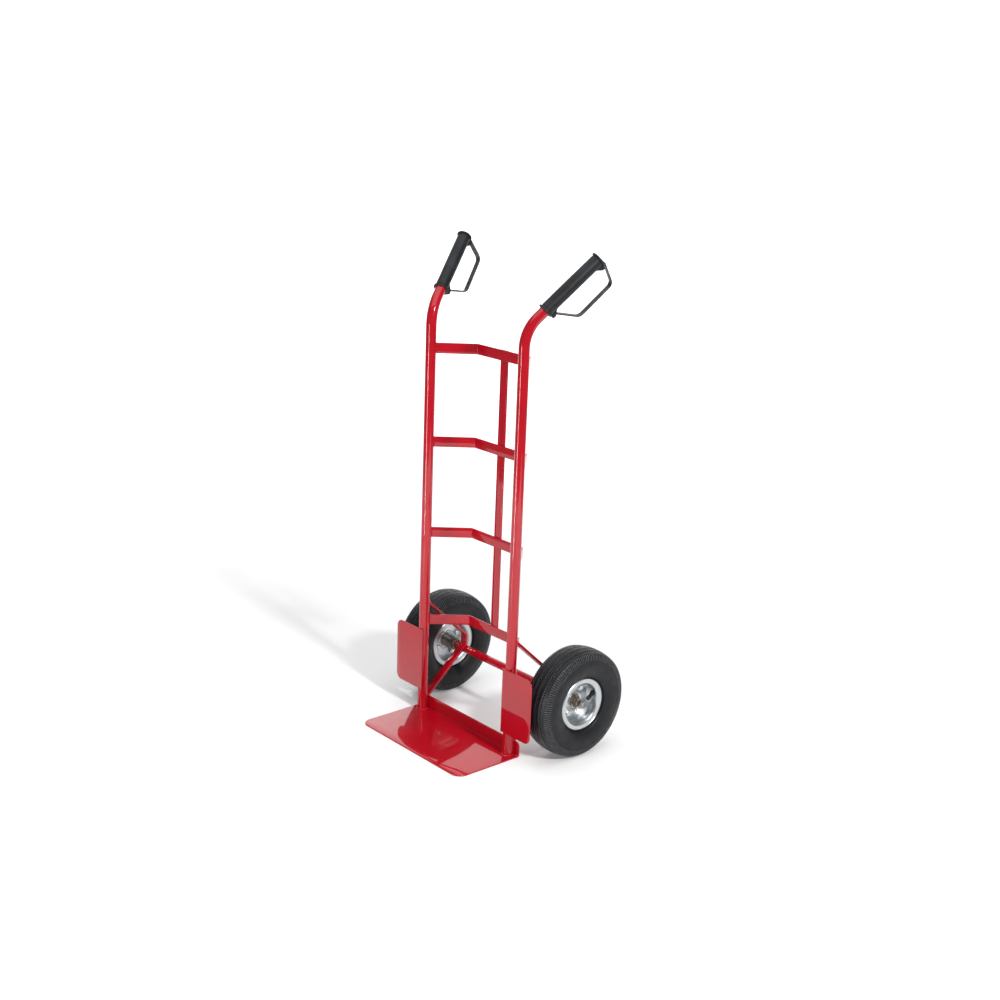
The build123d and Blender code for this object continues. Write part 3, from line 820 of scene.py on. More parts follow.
@dataclass(frozen=True)
class WeldedFrame:
    """Rails, bars, plates, brackets and axle, all red, with the beads that join them."""

    finish: Finish
    bare: Finish
    handle: HandleFrame
    rail_radius: float = 12.5 * MM
    bar: tuple[float, float] = (25.0 * MM, 3.0 * MM)
    bar_bend: float = 3.5 * MM
    bar_run: float = 91.0 * MM
    bar_depth: float = 84.5 * MM
    bar_inset: float = 5.0 * MM
    edge: float = 0.7 * MM
    sheet_edge: float = 0.6 * MM
    guard_corner: float = 18.0 * MM
    plate_thick: float = 3.0 * MM
    plate_corner: float = 26.0 * MM
    upstand_corner: float = 12.0 * MM
    plate_bend: float = 3.2 * MM
    bracket: tuple[float, float] = (20.0 * MM, 6.0 * MM)
    bracket_bend: float = 11.0 * MM
    bracket_top: float = 282.0 * MM
    bracket_slope: float = math.radians(42.2)
    bracket_start: float = 5.0 * MM
    bracket_end: float = 9.0 * MM
    upstand_gap: float = 0.05 * MM
    axle_radius: float = 10.0 * MM
    axle_bore: float = 6.0 * MM
    strap_bead: float = 1.2 * MM
    bar_bead: float = 1.7 * MM
    rail_bead: float = 1.9 * MM
    axle_bead: float = 2.1 * MM
    foot_bead: float = 2.3 * MM
    sink: float = 0.3 * MM
    foot_seam: tuple[float, float] = (5.0 * MM, 35.0 * MM)
    guard_seam: float = 24.0 * MM
    guard_seam_inset: float = 4.0 * MM
    seam_apart: float = 5.4 * MM

    def build(self) -> None:
        """Builds every piece of the frame."""
        self.build_plate()
        self.build_axle()
        self.build_bars()
        for side in Side:
            self.build_rail(side)
            self.build_wheel_guard(side)
            self.build_bracket(side)
            self.build_foot_beads(side)

    def build_rail(self, side: Side) -> None:
        """One rail: a circle carried up the rail's axis and round its bend."""
        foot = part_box("toe_plate")[0].z + self.plate_thick
        h = self.handle
        t = np.linspace(0.0, h.angle, 25)[1:, None]
        upright = np.array([[0.0, 0.0, z] for z in np.linspace(foot, h.bend_height, 40)])
        across, rise = h.bend_radius * (1 - np.cos(t)), h.bend_radius * np.sin(t)
        bend = np.concatenate([0 * t, across, h.bend_height + rise], 1)
        end = h.bend_end + h.along * (h.neck + np.linspace(10, 150, 8)[:, None] * MM)
        path = np.concatenate([upright, bend, end])
        grid = h.splayed(sweep(path, circle(self.rail_radius, 56), (1, 0, 0)))
        piece = Surface().add(grid).build(f"rail_tube_{side.label}", mirrored(side), 60)
        dress(piece, self.finish, "frame", [f"rail_{side.label}"])

    def build_plate(self) -> None:
        """The toe plate: one sheet carried back along the floor and up behind the rails."""
        low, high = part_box("toe_plate")
        half = self.plate_thick / 2
        back, floor = high.y - half, low.z + half
        corners = [(0, low.y, floor), (0, back, floor), (0, back, high.z)]
        path = rounded_path(corners, [self.plate_bend], 8.0)
        path = refine_ends(refine_ends(path, self.plate_corner, 14), self.edge * 1.5)
        width = high.x - low.x
        front = end_round(path, self.plate_corner, True, False)
        top = end_round(path, self.upstand_corner, False, True)
        loop = slab(width, self.plate_thick, self.edge, 5)
        grid = sweep(path, loop, (1, 0, 0), (front + top, end_round(path, self.edge * 1.5)))
        dress(Surface().add(grid).build("toe_plate_sheet", None, 30), self.finish, "frame", ["toe_plate"])

    def build_axle(self) -> None:
        """The axle: a tube open at both ends, enamelled between the stop collars and bare outside."""
        low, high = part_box("axle")
        edge = middle("stop_collar_right")[0]
        centre = middle("axle") * [0.0, 1.0, 1.0]
        tube = ("axle_tube", self.finish, [(-edge, edge)], ["axle"])
        ends = ("axle_ends", self.bare, [(low.x, -edge), (edge, high.x)], [])
        for name, finish, spans, nodes in (tube, ends):
            surface = Surface()
            for start, end in spans:
                ring = (self.axle_bore, self.axle_radius, start, end, self.sheet_edge)
                surface.add(lathe(chamfered_ring(*ring), 56) + centre, (True, True))
            dress(surface.build(name), finish, "frame", nodes)

    def bar_path(self, height: float) -> Array:
        """The middle line of a cross bar at a height, from rail to rail.

        Args:
            height: of the bar's middle.

        Returns:
            Points along it, bends rounded.
        """
        rail, run, depth = self.handle.rail_x, self.bar_run, self.bar_depth
        corners = [(-rail, 0, height), (-run, depth, height), (run, depth, height), (rail, 0, height)]
        path = rounded_path(corners, [self.bar_bend] * 2, 8.0)
        path[0] += unit(path[1] - path[0]) * self.bar_inset
        path[-1] += unit(path[-2] - path[-1]) * self.bar_inset
        return path

    def build_bars(self) -> None:
        """The cross bars, the strap behind them and the beads at every joint."""
        beads, loop = Surface(), slab(*self.bar, self.edge, 4)
        names = sorted(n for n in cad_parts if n.startswith("cross_bar"))
        for name in names:
            height = middle(name)[2]
            grid = sweep(self.bar_path(height), loop, (0, 0, 1))
            dress(Surface().add(grid).build(f"{name}_strip"), self.finish, "frame", [name])
            self.add_bar_beads(beads, height)
        low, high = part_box("centre_strap")
        path = joined(0.0, (low.y + high.y) / 2, np.linspace(low.z, high.z, 24))
        path = refine_ends(path, self.edge)
        grid = sweep(path, loop, (1, 0, 0), (end_round(path, self.edge), end_round(path, self.edge)))
        dress(Surface().add(grid).build("centre_strap_strip"), self.finish, "frame", ["centre_strap"])
        dress(beads.build("bar_beads", None, 80), self.finish, "frame")

    def add_bar_beads(self, beads: Surface, height: float) -> None:
        """Beads down both faces of a bar where it meets the rails, and beside the strap."""
        rail = self.handle.rail_x
        arm = unit(np.array([self.bar_run - rail, self.bar_depth]))
        reach = np.linspace(-0.46, 0.46, 12) * self.bar[0] + height
        spread = math.asin((self.bar[1] / 2 + 0.5 * MM) / self.rail_radius)
        for sign in (-1, 1):
            c, s = math.cos(spread), math.sin(sign * spread)
            x, y = (self.rail_radius + self.sink) * (np.array([[c, -s], [s, c]]) @ arm)
            for hand in (-1, 1):
                seed = int(height * 1000) + hand + sign
                beads.add(Bead(self.bar_bead, seed=seed).grid(joined(hand * (rail + x), y, reach)))
        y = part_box("centre_strap")[0].y + self.sink
        for hand in (-1, 1):
            x = hand * (self.bar[0] / 2 + 0.2 * MM)
            seed = int(height * 900) + hand
            beads.add(Bead(self.strap_bead, seed=seed).grid(joined(x, y, reach)))

    def build_wheel_guard(self, side: Side) -> None:
        """A wheel guard: a thin plate carried outwards, its outer corners quarter circles."""
        low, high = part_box("wheel_guard_right")
        path = joined(np.linspace(low.x, high.x, 9), (low.y + high.y) / 2, (low.z + high.z) / 2)
        path = refine_ends(refine_ends(path, self.guard_corner, 12), self.edge)
        corners = end_round(path, self.guard_corner, False, True)
        loop = slab(high.z - low.z, high.y - low.y, self.sheet_edge, 4)
        grid = sweep(path, loop, (0, 0, 1), (corners, end_round(path, self.edge)))
        piece = Surface().add(grid).build(f"wheel_guard_sheet_{side.label}", mirrored(side), 30)
        dress(piece, self.finish, "frame", [f"wheel_guard_{side.label}"])

    def bracket_path(self) -> Array:
        """The middle line of the right-hand bracket, from the rail round its nose to the upstand."""
        _, back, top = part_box("toe_plate")[1]
        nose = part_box("axle_bracket_right")[1].y
        reach = middle("axle")[1:] - [back, top]
        rise = math.atan2(reach[1], reach[0]) + math.asin(self.axle_radius / math.hypot(*reach))
        fall, half, r = math.tan(self.bracket_slope), self.bracket[1] / 2, self.rail_radius
        inner = nose - half
        high = self.bracket_top - (nose - r) * fall
        high -= half * math.tan(math.pi / 4 - self.bracket_slope / 2)
        low = top + (nose - back) * math.tan(rise) + half * math.tan(math.pi / 4 - rise / 2)
        start = (self.bracket_start, high + (inner - self.bracket_start) * fall)
        end = (self.bracket_end, low - (inner - self.bracket_end) * math.tan(rise))
        spots = (start, (inner, high), (inner, low), end)
        corners = [(self.handle.rail_x, y, z) for y, z in spots]
        return rounded_path(corners, [self.bracket_bend] * 2, 6.0)

    def build_bracket(self, side: Side) -> None:
        """An axle bracket: a flat bar carried along its V, resting on the upstand."""
        path = self.bracket_path()
        tail = np.linspace(path[-2], path[-1], 40)
        path = np.concatenate([path[:-2], tail])
        grid = sweep(path, slab(*self.bracket, self.edge, 4), (1, 0, 0))
        _, back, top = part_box("toe_plate")[1]
        over = grid[..., 1] < back + 0.2 * MM
        raised = np.maximum(grid[..., 2], top + self.upstand_gap)
        grid[..., 2] = np.where(over, raised, grid[..., 2])
        piece = Surface().add(grid).build(f"axle_bracket_strip_{side.label}", mirrored(side))
        dress(piece, self.finish, "frame", [f"axle_bracket_{side.label}"])
        self.build_bracket_beads(side, path)

    def build_bracket_beads(self, side: Side, path: Array) -> None:
        """Beads where a bracket meets its rail, the upstand and the axle."""
        beads = Surface()
        across = np.linspace(-0.48, 0.48, 14) * self.bracket[0]
        on_rail = np.sqrt(self.rail_radius**2 - across**2)
        fall, half = math.tan(self.bracket_slope), self.bracket[1] / 2
        start = path[0]
        for sign in (-1, 1):
            z = start[2] - (on_rail - start[1]) * fall + sign * half / math.cos(self.bracket_slope)
            seam = joined(start[0] + across, on_rail + self.sink, z)
            beads.add(Bead(self.rail_bead, seed=20 + sign).grid(seam))
        _, back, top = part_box("toe_plate")[1]
        seam = joined(start[0] + across, back + self.sink, top)
        beads.add(Bead(self.bar_bead, seed=31).grid(seam))
        leg = unit(path[-1] - path[-2])[1:]
        outward = np.array([leg[1], -leg[0]])
        outward *= np.sign(outward[0])
        under_axle = middle("axle")[1:] - outward * (self.axle_radius - 1.1 * MM)
        for sign in (-1, 1):
            y, z = under_axle + sign * leg * 2 * self.axle_bead
            beads.add(Bead(self.axle_bead, seed=40 + sign).grid(joined(start[0] + across, y, z)))
        dress(beads.build(f"bracket_beads_{side.label}", mirrored(side), 80), self.finish, "frame")

    def build_foot_beads(self, side: Side) -> None:
        """Beads round the foot of a rail, up the upstand and down the back of the wheel guard."""
        beads, x = Surface(), self.handle.rail_x
        t = np.linspace(0, 2 * math.pi, 49)[:-1]
        radius = self.rail_radius + 0.6 * MM
        foot = joined(x + radius * np.cos(t), radius * np.sin(t), self.plate_thick + self.sink)
        beads.add(Bead(self.foot_bead, seed=51).grid(foot, True), (True, True))
        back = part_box("toe_plate")[1].y - self.plate_thick
        _, front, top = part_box("wheel_guard_right")[1]
        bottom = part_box("wheel_guard_right")[0].z
        runs = [(back - 1.0 * MM, *self.foot_seam)]
        first, last = bottom + self.guard_seam_inset, top - self.guard_seam_inset - self.guard_seam
        for low in (first, (first + last) / 2, last):
            runs.append((front + 1.0 * MM, low, low + self.guard_seam))
        for number, (y, low, high) in enumerate(runs):
            for hand in (-1, 1):
                seam = joined(x + hand * self.seam_apart, y, np.linspace(low, high, 10))
                beads.add(Bead(self.rail_bead, seed=60 + number * 2 + hand).grid(seam))
        dress(beads.build(f"rail_beads_{side.label}", mirrored(side), 80), self.finish, "frame")


# ---- grips and knuckle guards


@dataclass(frozen=True)
class Grip:
    """A moulded rubber grip with a bent steel strip that shields the knuckles."""

    place: HandleFrame
    finishes: Finishes
    length: float = 164.0 * MM
    radius: float = 15.0 * MM
    flange: tuple[float, float] = (18.0 * MM, 4.5 * MM)
    bore: float = 12.52 * MM
    cap: float = 4.0 * MM
    socket: tuple[float, float] = (18.0 * MM, 25.0 * MM)
    strip: tuple[float, float] = (12.0 * MM, 3.0 * MM)
    strip_path: tuple = ((167.0, 14.6), (153.0, 71.5), (53.0, 74.0), (9.5, 14.6))
    strip_bends: tuple = (14.0 * MM, 18.0 * MM)
    strip_edge: float = 0.9 * MM
    strip_end: float = 1.0 * MM
    socket_foot: float = 9.0 * MM
    swell: float = 0.22 * MM

    def build(self, side: Side) -> None:
        """Builds both pieces on one side."""

        def move(points: Array) -> Array:
            """From the grip's own frame to the truck's, on the given side."""
            return mirrored(side)(self.place.from_grip(points))

        grip = Surface().add(self.sleeve_grid(), (True, False), False)
        top = self.length - self.flange[1]
        foot = self.flange[1]
        grip.add(self.socket_grid(top - 20 * MM, top - 4 * MM, top + 0.5 * MM))
        grip.add(self.socket_grid(foot + 20 * MM, foot + 6 * MM, foot - 0.5 * MM))
        piece = grip.build(f"grip_sleeve_{side.label}", move, 38)
        dress(piece, self.finishes.grip, "frame", [f"grip_{side.label}"])
        corners = [(0.0, h * MM, s * MM) for s, h in self.strip_path]
        path = refine_ends(rounded_path(corners, self.strip_bends, 5.0), self.strip_end)
        loop = slab(*self.strip, self.strip_edge, 5)
        grid = sweep(path, loop, (1, 0, 0), (0.0, end_round(path, self.strip_end)))
        piece = Surface().add(grid).build(f"knuckle_strip_{side.label}", move)
        dress(piece, self.finishes.guard, "frame", [f"knuckle_guard_{side.label}"])

    def sleeve_grid(self) -> Array:
        """The sleeve: its bore, flanges, body with shallow moulded rings, and domed end.

        Returns:
            Grid of points: round the grip, along its profile, coordinates.
        """
        r, (fr, ft), end = self.radius, self.flange, self.length
        lower = [(end - self.cap, 0.0), (end - self.cap, self.bore), (0.0, self.bore)]
        on_rim, past_foot = np.array([0.0, fr]), np.array([ft, fr])
        low_edge = three_point_arc(*(on_rim + mm((0.6, -1.2), (1.2, -0.3))), (ft / 2, fr), 6)
        foot = [on_rim + mm((0.0, -2.0)), low_edge, past_foot + mm((-0.8, -0.3), (0.0, -1.2))]
        neck = np.array([ft, r]) + mm((0.3, -0.9), (2.6, -0.9), (3.2, 0.0))
        body = joined(np.linspace(ft + 5.0 * MM, end - ft - 5.0 * MM, 60), r)
        body[:, 1] += self.swell * np.sin(np.linspace(0, math.pi, 60)) ** 2
        head = np.array([end - ft, r]) + mm((-3.2, 0.0), (-2.6, -0.9), (-0.3, -0.9))
        at_end = np.array([end, fr])
        start, stop = np.array([end - ft, fr]) + mm((0.0, -1.2))[0], at_end + mm((-0.8, -1.0))[0]
        rim = three_point_arc(start, (end - ft / 2, fr), stop, 9)
        summit = (end + 0.5 * MM, 0.0)
        dome = three_point_arc(at_end + mm((0.0, -2.4))[0], (end + 0.35 * MM, fr / 2), summit, 9)
        profile = np.concatenate([lower, *foot, neck, body, head, rim, dome])
        grid = lathe(profile, 72)
        return grid[..., [1, 2, 0]]

    def socket_grid(self, start: float, tip: float, end: float) -> Array:
        """A wedge under the grip: a round-cornered section that grows towards the flange.

        Args:
            start: where it leaves the grip, along the grip.
            tip: where it reaches its full height.
            end: where it ends, at the flange.

        Returns:
            Grid of points: along the grip, round the section, coordinates.
        """
        s = np.concatenate([np.linspace(start, tip, 8), np.linspace(tip, end, 5)[1:]])
        low, root = self.socket_foot, self.radius - 1.5 * MM
        share = smooth_step(np.abs(s - start), 0.0, abs(tip - start))
        top = root + (self.socket[1] - root) * share
        loop = slab(np.full(len(s), self.socket[0]), top - low, 1.9 * MM, 5)
        height = loop[..., 1] + ((top + low) / 2)[:, None]
        return joined(loop[..., 0], height, s[:, None])


# ---- wheels


@dataclass(frozen=True)
class WheelPlace:
    """Where a wheel sits: its own frame has X along the axle, outwards."""

    side: Side
    turn: float

    def __call__(self, points: Array) -> Array:
        """Moves points from the wheel's own frame to the truck's."""
        c, s = math.cos(self.turn), math.sin(self.turn)
        x, y, z = points[..., 0], points[..., 1], points[..., 2]
        spots = np.stack([x, y * c - z * s, y * s + z * c], -1)
        return mirrored(self.side)(spots) + middle(f"tyre_{self.side.label}")


@dataclass(frozen=True)
class Tyre:
    """A small air tyre: serrated tread ribs, ribbed shoulders and smooth sidewalls."""

    radius: float = 130.0 * MM
    half_width: float = 40.0 * MM
    teeth: int = 140
    grooves: tuple = (22.0 * MM, 7.5 * MM, -7.5 * MM, -22.0 * MM)
    groove_width: float = 3.2 * MM
    groove_depth: float = 3.0 * MM
    tooth_depth: float = 3.0 * MM
    rib_height: float = 2.0 * MM
    crown_drop: float = 4.6 * MM
    tread_inset: float = 8.6 * MM
    bead: tuple = ((18.6, 51.15), (21.0, 51.15), (24.0, 53.0), (25.5, 56.5), (25.65, 64.2))
    lip: tuple = ((27.0, 66.6), (29.4, 67.6), (31.4, 66.9))
    mould_line: tuple = (106.5 * MM, 1.1 * MM, 0.5 * MM)
    rim_line: tuple = (74.0 * MM, 0.9 * MM, 0.4 * MM)
    rib_span: tuple = (107.0 * MM, 110.0 * MM, 124.4 * MM, 125.6 * MM)
    tooth_columns: tuple = (0.0, 0.45, 0.5, 0.95)

    def half_profile(self) -> Array:
        """The outer profile from bead to the edge of the tread, on the outer side.

        Returns:
            Points of (place along the axle, radius), bead first.
        """
        w, r = self.half_width, self.radius
        corner = np.array([w, r])
        widest, wall_end = corner - mm((0.0, 37.0), (3.8, 15.0))
        wall = three_point_arc(mm((32.4, 68.0))[0], widest, wall_end, 18)
        for place, spread, height in (self.mould_line, self.rim_line):
            wall[:, 0] += np.exp(-(((wall[:, 1] - place) / spread) ** 2)) * height
        start, halfway = corner - mm((4.1, 13.5), (5.6, 8.6))
        end = (w - self.tread_inset, r - self.crown_drop)
        shoulder = three_point_arc(start, halfway, end, 9)
        return np.concatenate([mm(*self.bead), three_point_arc(*mm(*self.lip), 6), wall, shoulder])

    def tread_rows(self) -> tuple[Array, Array, Array]:
        """The rows across the tread: ribs with a groove between each two.

        Returns:
            For each row its place along the axle, its depth below the crown and how much of the
            tooth's side step it takes.
        """
        places, depths, steps = [], [], []
        half = self.groove_width / 2
        for groove in self.grooves:
            for place, depth, step in (
                (groove + half + 3.2 * MM, 0.0, 0.0),
                (groove + half + 0.5 * MM, 0.0, 1.0),
                (groove + half, 0.4 * MM, 1.0),
                (groove + half - 0.5 * MM, self.groove_depth, 0.8),
                (groove - half + 0.5 * MM, self.groove_depth, 0.8),
                (groove - half, 0.4 * MM, 1.0),
                (groove - half - 0.5 * MM, 0.0, 1.0),
                (groove - half - 3.2 * MM, 0.0, 0.0),
            ):
                places.append(place)
                depths.append(depth)
                steps.append(step)
        return np.array(places), np.array(depths), np.array(steps)

    def grid(self) -> tuple[Array, Array]:
        """The casing as one closed ring.

        Round the tyre every tooth has four columns, at 0, 0.45, 0.5 and 0.95 of its pitch. A groove's
        rows step sideways along the axle from column to column, which serrates the ribs, and the
        shoulder rows rise and fall, which ribs the shoulders.

        Returns:
            Grid of points (round the tyre, round its section, coordinates) and its share of painted
            highlight per point.
        """
        w, r = self.half_width, self.radius
        outer = self.half_profile()
        place, depth, step = self.tread_rows()
        edge = w - self.tread_inset
        crown = r - self.crown_drop * (place / edge) ** 2 - depth
        tread = np.stack([place, crown], -1)
        roof = (mm((-28.0, 112.0))[0], (0, r - 9 * MM), mm((28.0, 112.0))[0])
        cavity = three_point_arc(*roof, 9)
        belly = three_point_arc(*mm((-26.0, 69.0), (-34.0, 92.0), (-28.6, 110.5)), 6)
        far, far_belly = (outer * [-1, 1])[::-1], (belly * [-1, 1])[::-1]
        section = np.concatenate([outer, tread, far, belly, cavity, far_belly])
        sideways = np.zeros(len(section))
        sideways[len(outer) : len(outer) + len(tread)] = step
        phase = (np.arange(self.teeth)[:, None] + self.tooth_columns).ravel()
        phase = phase / self.teeth * 2 * math.pi
        saw = np.tile([-0.5, 0.0, 0.05, 0.5], self.teeth)
        rib = np.tile([1.0, 1.0, 0.0, 0.0], self.teeth)
        shown = np.zeros(len(section))
        shown[: len(outer)] = shown[len(outer) + len(tread) : 2 * len(outer) + len(tread)] = 1.0
        radius = section[:, 1]
        foot, full, fade, gone = self.rib_span
        ribbed = shown * smooth_step(radius, foot, full) * (1 - smooth_step(radius, fade, gone))
        lift = self.rib_height * ribbed * (rib[:, None] - 0.6)
        along = section[:, 0] + sideways * self.tooth_depth * saw[:, None]
        along = along + np.sign(section[:, 0]) * lift * 0.8
        across = radius + lift * 0.5
        t = phase[:, None]
        # painted highlight share: full on the shoulder ribs and on the tread's groove edges, where light
        # glints
        glint_rows = np.zeros(len(section))
        glint_rows[len(outer) : len(outer) + len(tread)] = (step == 1.0) & (depth < self.groove_depth / 2)
        rib_highlight = ribbed * rib[:, None] * 0.9 + glint_rows * (0.1 + 0.8 * rib[:, None])
        return joined(along, across * np.cos(t), across * np.sin(t)), np.clip(rib_highlight, 0.0, 1.0)


@dataclass(frozen=True)
class Hexagon:
    """A hexagonal bolt head or nut about X, its corners turned off at the face."""

    flats: float = 13.0 * MM
    height: float = 5.3 * MM
    cone: float = math.radians(60)
    face: float = 0.95
    rise: tuple = (0.0, 0.0, 0.25, 0.72, 0.82, 0.9, 0.97, 1.0, 1.0, 1.0)
    share: tuple = (0.0, 1.0, 1.0, 1.0, 1.0, 1.0, 1.0, 1.0, 0.6, 0.0)

    def grid(self, start: float, direction: int) -> Array:
        """The head from its seat outwards.

        The radius is half the width over flats divided by the cosine of the angle from the
        nearest flat's middle, and near the face no more than a cone of 60 degrees allows.

        Args:
            start: place of its seat along X.
            direction: +1 or -1 along X.

        Returns:
            Grid of points: round the head, from seat to middle of the face, coordinates.
        """
        t = np.arange(72) * 2 * math.pi / 72
        sixth = math.pi / 3
        hexagon = self.flats / 2 / np.cos((t + sixth / 2) % sixth - sixth / 2)
        rise = np.array(self.rise) * self.height
        cone = self.flats / 2 * self.face + (self.height - rise) * math.tan(self.cone)
        radius = np.minimum(hexagon[:, None], cone) * self.share
        turn = t[:, None]
        return joined(start + direction * rise, radius * np.cos(turn), radius * np.sin(turn))


@dataclass(frozen=True)
class Wheel:
    """One wheel: tyre, two pressed rim halves bolted together, hub, rollers and valve."""

    side: Side
    finishes: Finishes
    turn: float
    valve_lead: float = math.radians(-42.0)
    sheet: float = 2.0 * MM
    rim_wall: tuple = (
        (8.0, 49.8), (17.4, 49.8), (18.6, 49.2), (27.0, 49.8), (27.0, 61.6), (28.2, 62.7)
    )
    stem: tuple = (
        (-10.0, 0.0), (-10.0, 4.3), (1.8, 4.3), (4.4, 5.8), (5.8, 5.9), (8.0, 5.2), (10.6, 4.35),
        (14.0, 4.3),
    )
    stem_top: tuple = ((-0.4, 4.1), (-0.2, 3.4), (1.0, 3.4), (1.0, 0.0))
    cap_rise: tuple = (0.0, 0.0, 0.6, 1.6, 8.0, 9.0, 10.2, 10.8, 11.0, 11.0)
    cap_share: tuple = (0.0, 0.94, 1.0, 1.0, 1.0, 0.96, 0.9, 0.78, 0.5, 0.0)
    cap_wall: float = 0.35 * MM
    knurl_span: tuple[float, float] = (1.0 * MM, 9.5 * MM)
    knurl_depth: float = 0.03
    bolt_circle: float = 33.5 * MM
    bolts: int = 4
    hub: tuple[float, float] = (14.0 * MM, 17.0 * MM)
    hub_ends: tuple[float, float] = (-36.0 * MM, 2.0 * MM)
    valve_lean: float = math.radians(20.0)
    valve_spot: tuple[float, float] = (13.0 * MM, 50.8 * MM)
    valve_length: float = 30.0 * MM
    cap_length: float = 11.0 * MM
    valve_radius: float = 4.3 * MM

    def build(self) -> None:
        """Builds every piece of the wheel."""
        tag, f = self.side.label, self.finishes
        place, body = WheelPlace(self.side, self.turn), f"wheel_{tag}"
        hub = chamfered_ring(*self.hub, *self.hub_ends, 0.7 * MM)
        rings = {
            "rim_disc_outer": (self.rim_loop(1), f.zinc, "rim_outer", 160),
            "rim_disc_inner": (self.rim_loop(-1), f.zinc, "rim_inner", 160),
            "hub_sleeve": (hub, f.hub_steel, "hub_tube", 72),
        }
        # the tyre's grid comes with its painted highlight share on ribs and groove edges
        grid, rib_highlight = Tyre().grid()
        tyre = Surface(rib_highlight=rib_highlight).add(grid, (True, True)).build(f"tyre_casing_{tag}", place, 28)
        dress(tyre, f.tyre, body, [f"tyre_{tag}"])
        for name, (profile, finish, node, count) in rings.items():
            ring = Surface().add(lathe(profile, count), (True, True))
            dress(ring.build(f"{name}_{tag}", place, 40), finish, body, [f"{node}_{tag}"])
        self.build_bolts(place, body)
        self.build_valve(place, body)
        kept = {"inner_tube": f.soft_rubber, "roller_cage": f.plastic, "rollers": f.rollers}
        for name, finish in kept.items():
            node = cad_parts[f"{name}_{tag}"]
            node.data.materials.clear()
            node.data.materials.append(finish.material)

    def rim_loop(self, direction: int) -> Array:
        """A rim half's closed profile: disc, pressed ring, wall, bead seat and flange.

        Args:
            direction: +1 for the outer half, -1 for the inner.

        Returns:
            Points of (place along the axle, radius).
        """
        disc = -2.0 * MM + direction * self.sheet / 2
        pressed = disc + direction * 1.6 * MM
        radii_mm = ((disc, 17.1), (disc, 19.6), (pressed, 21.6), (pressed, 23.4), (disc, 25.4))
        corners = [(place, radius * MM) for place, radius in (*radii_mm, (disc, 43.0))]
        corners += list(mm(*self.rim_wall) * [direction, 1])
        radii = np.array([1.2, 1.2, 1.2, 1.2, 3.0, 4.0, 1.5, 1.5, 5.0, 1.2]) * MM
        return sheet_loop(rounded_path(corners, radii, 9.0), self.sheet)

    def build_bolts(self, place: Place, body: str) -> None:
        """The bolts that hold the rim halves, heads outside and nuts inside."""
        heads, nuts = Surface(), Surface()
        head, nut = Hexagon(), Hexagon(height=6.5 * MM)
        shank = mm((-11.0, 0.0), (-11.0, 3.2), (-10.2, 4.0), (0.0, 4.0), (0.0, 0.0))
        washer = chamfered_ring(4.0 * MM, 8.2 * MM, 0.0, 1.0 * MM, 0.3 * MM)
        for number in range(self.bolts):
            t = number * 2 * math.pi / self.bolts
            spot = np.array([0.0, math.cos(t), math.sin(t)]) * self.bolt_circle
            heads.add(lathe(washer, 40) + spot, (True, True))
            heads.add(head.grid(0.9 * MM, 1) + spot, (True, False), False)
            heads.add(lathe(shank, 24) + spot, (True, False), False)
            nuts.add(nut.grid(-4.0 * MM, -1) + spot, (True, False), False)
        tag, zinc = self.side.label, self.finishes.zinc
        dress(heads.build(f"rim_bolt_set_{tag}", place), zinc, body, [f"rim_bolts_{tag}"])
        dress(nuts.build(f"rim_nut_set_{tag}", place), zinc, body, [f"rim_nuts_{tag}"])

    def build_valve(self, place: Place, body: str) -> None:
        """The rubber valve stem and its knurled cap, leaning outwards from the bead seat."""
        c, s = math.cos(self.valve_lean), math.sin(self.valve_lean)
        axial, radial = self.valve_spot
        lc, ls = math.cos(self.valve_lead), math.sin(self.valve_lead)

        def move(points: Array) -> Array:
            """From the valve's own frame, Z towards the hub, through the wheel's to the truck's."""
            x, side, z = np.moveaxis(points, -1, 0)
            across, out = axial + z * s + x * c, radial - z * c + x * s
            return place(joined(across, out * lc - side * ls, out * ls + side * lc))

        cap_start = self.valve_length - self.cap_length
        top = mm(*self.stem_top) + [cap_start, 0.0]
        grid = lathe(np.concatenate([mm(*self.stem), top]), 40)[..., [1, 2, 0]]
        tag = self.side.label
        piece = Surface().add(grid, (True, False), False).build(f"valve_rubber_{tag}", move)
        dress(piece, self.finishes.soft_rubber, body, [f"valve_stem_{tag}"])
        rise = mm(*self.cap_rise)
        low, high = self.knurl_span
        gripped = (rise > low) & (rise < high)
        wide = np.array(self.cap_share) * (self.valve_radius + self.cap_wall)
        grid = lathe(joined(rise + cap_start, wide), 96)
        wave = np.cos(np.arange(96) * 2 * math.pi / 4)[:, None]
        knurl = 1.0 + self.knurl_depth * wave * gripped
        grid = grid[..., [1, 2, 0]] * joined(knurl, knurl, 1.0)
        piece = Surface().add(grid, (True, False), False).build(f"valve_cap_knurled_{tag}", move, 50)
        dress(piece, self.finishes.plastic, body, [f"valve_cap_{tag}"])


# ---- axle hardware


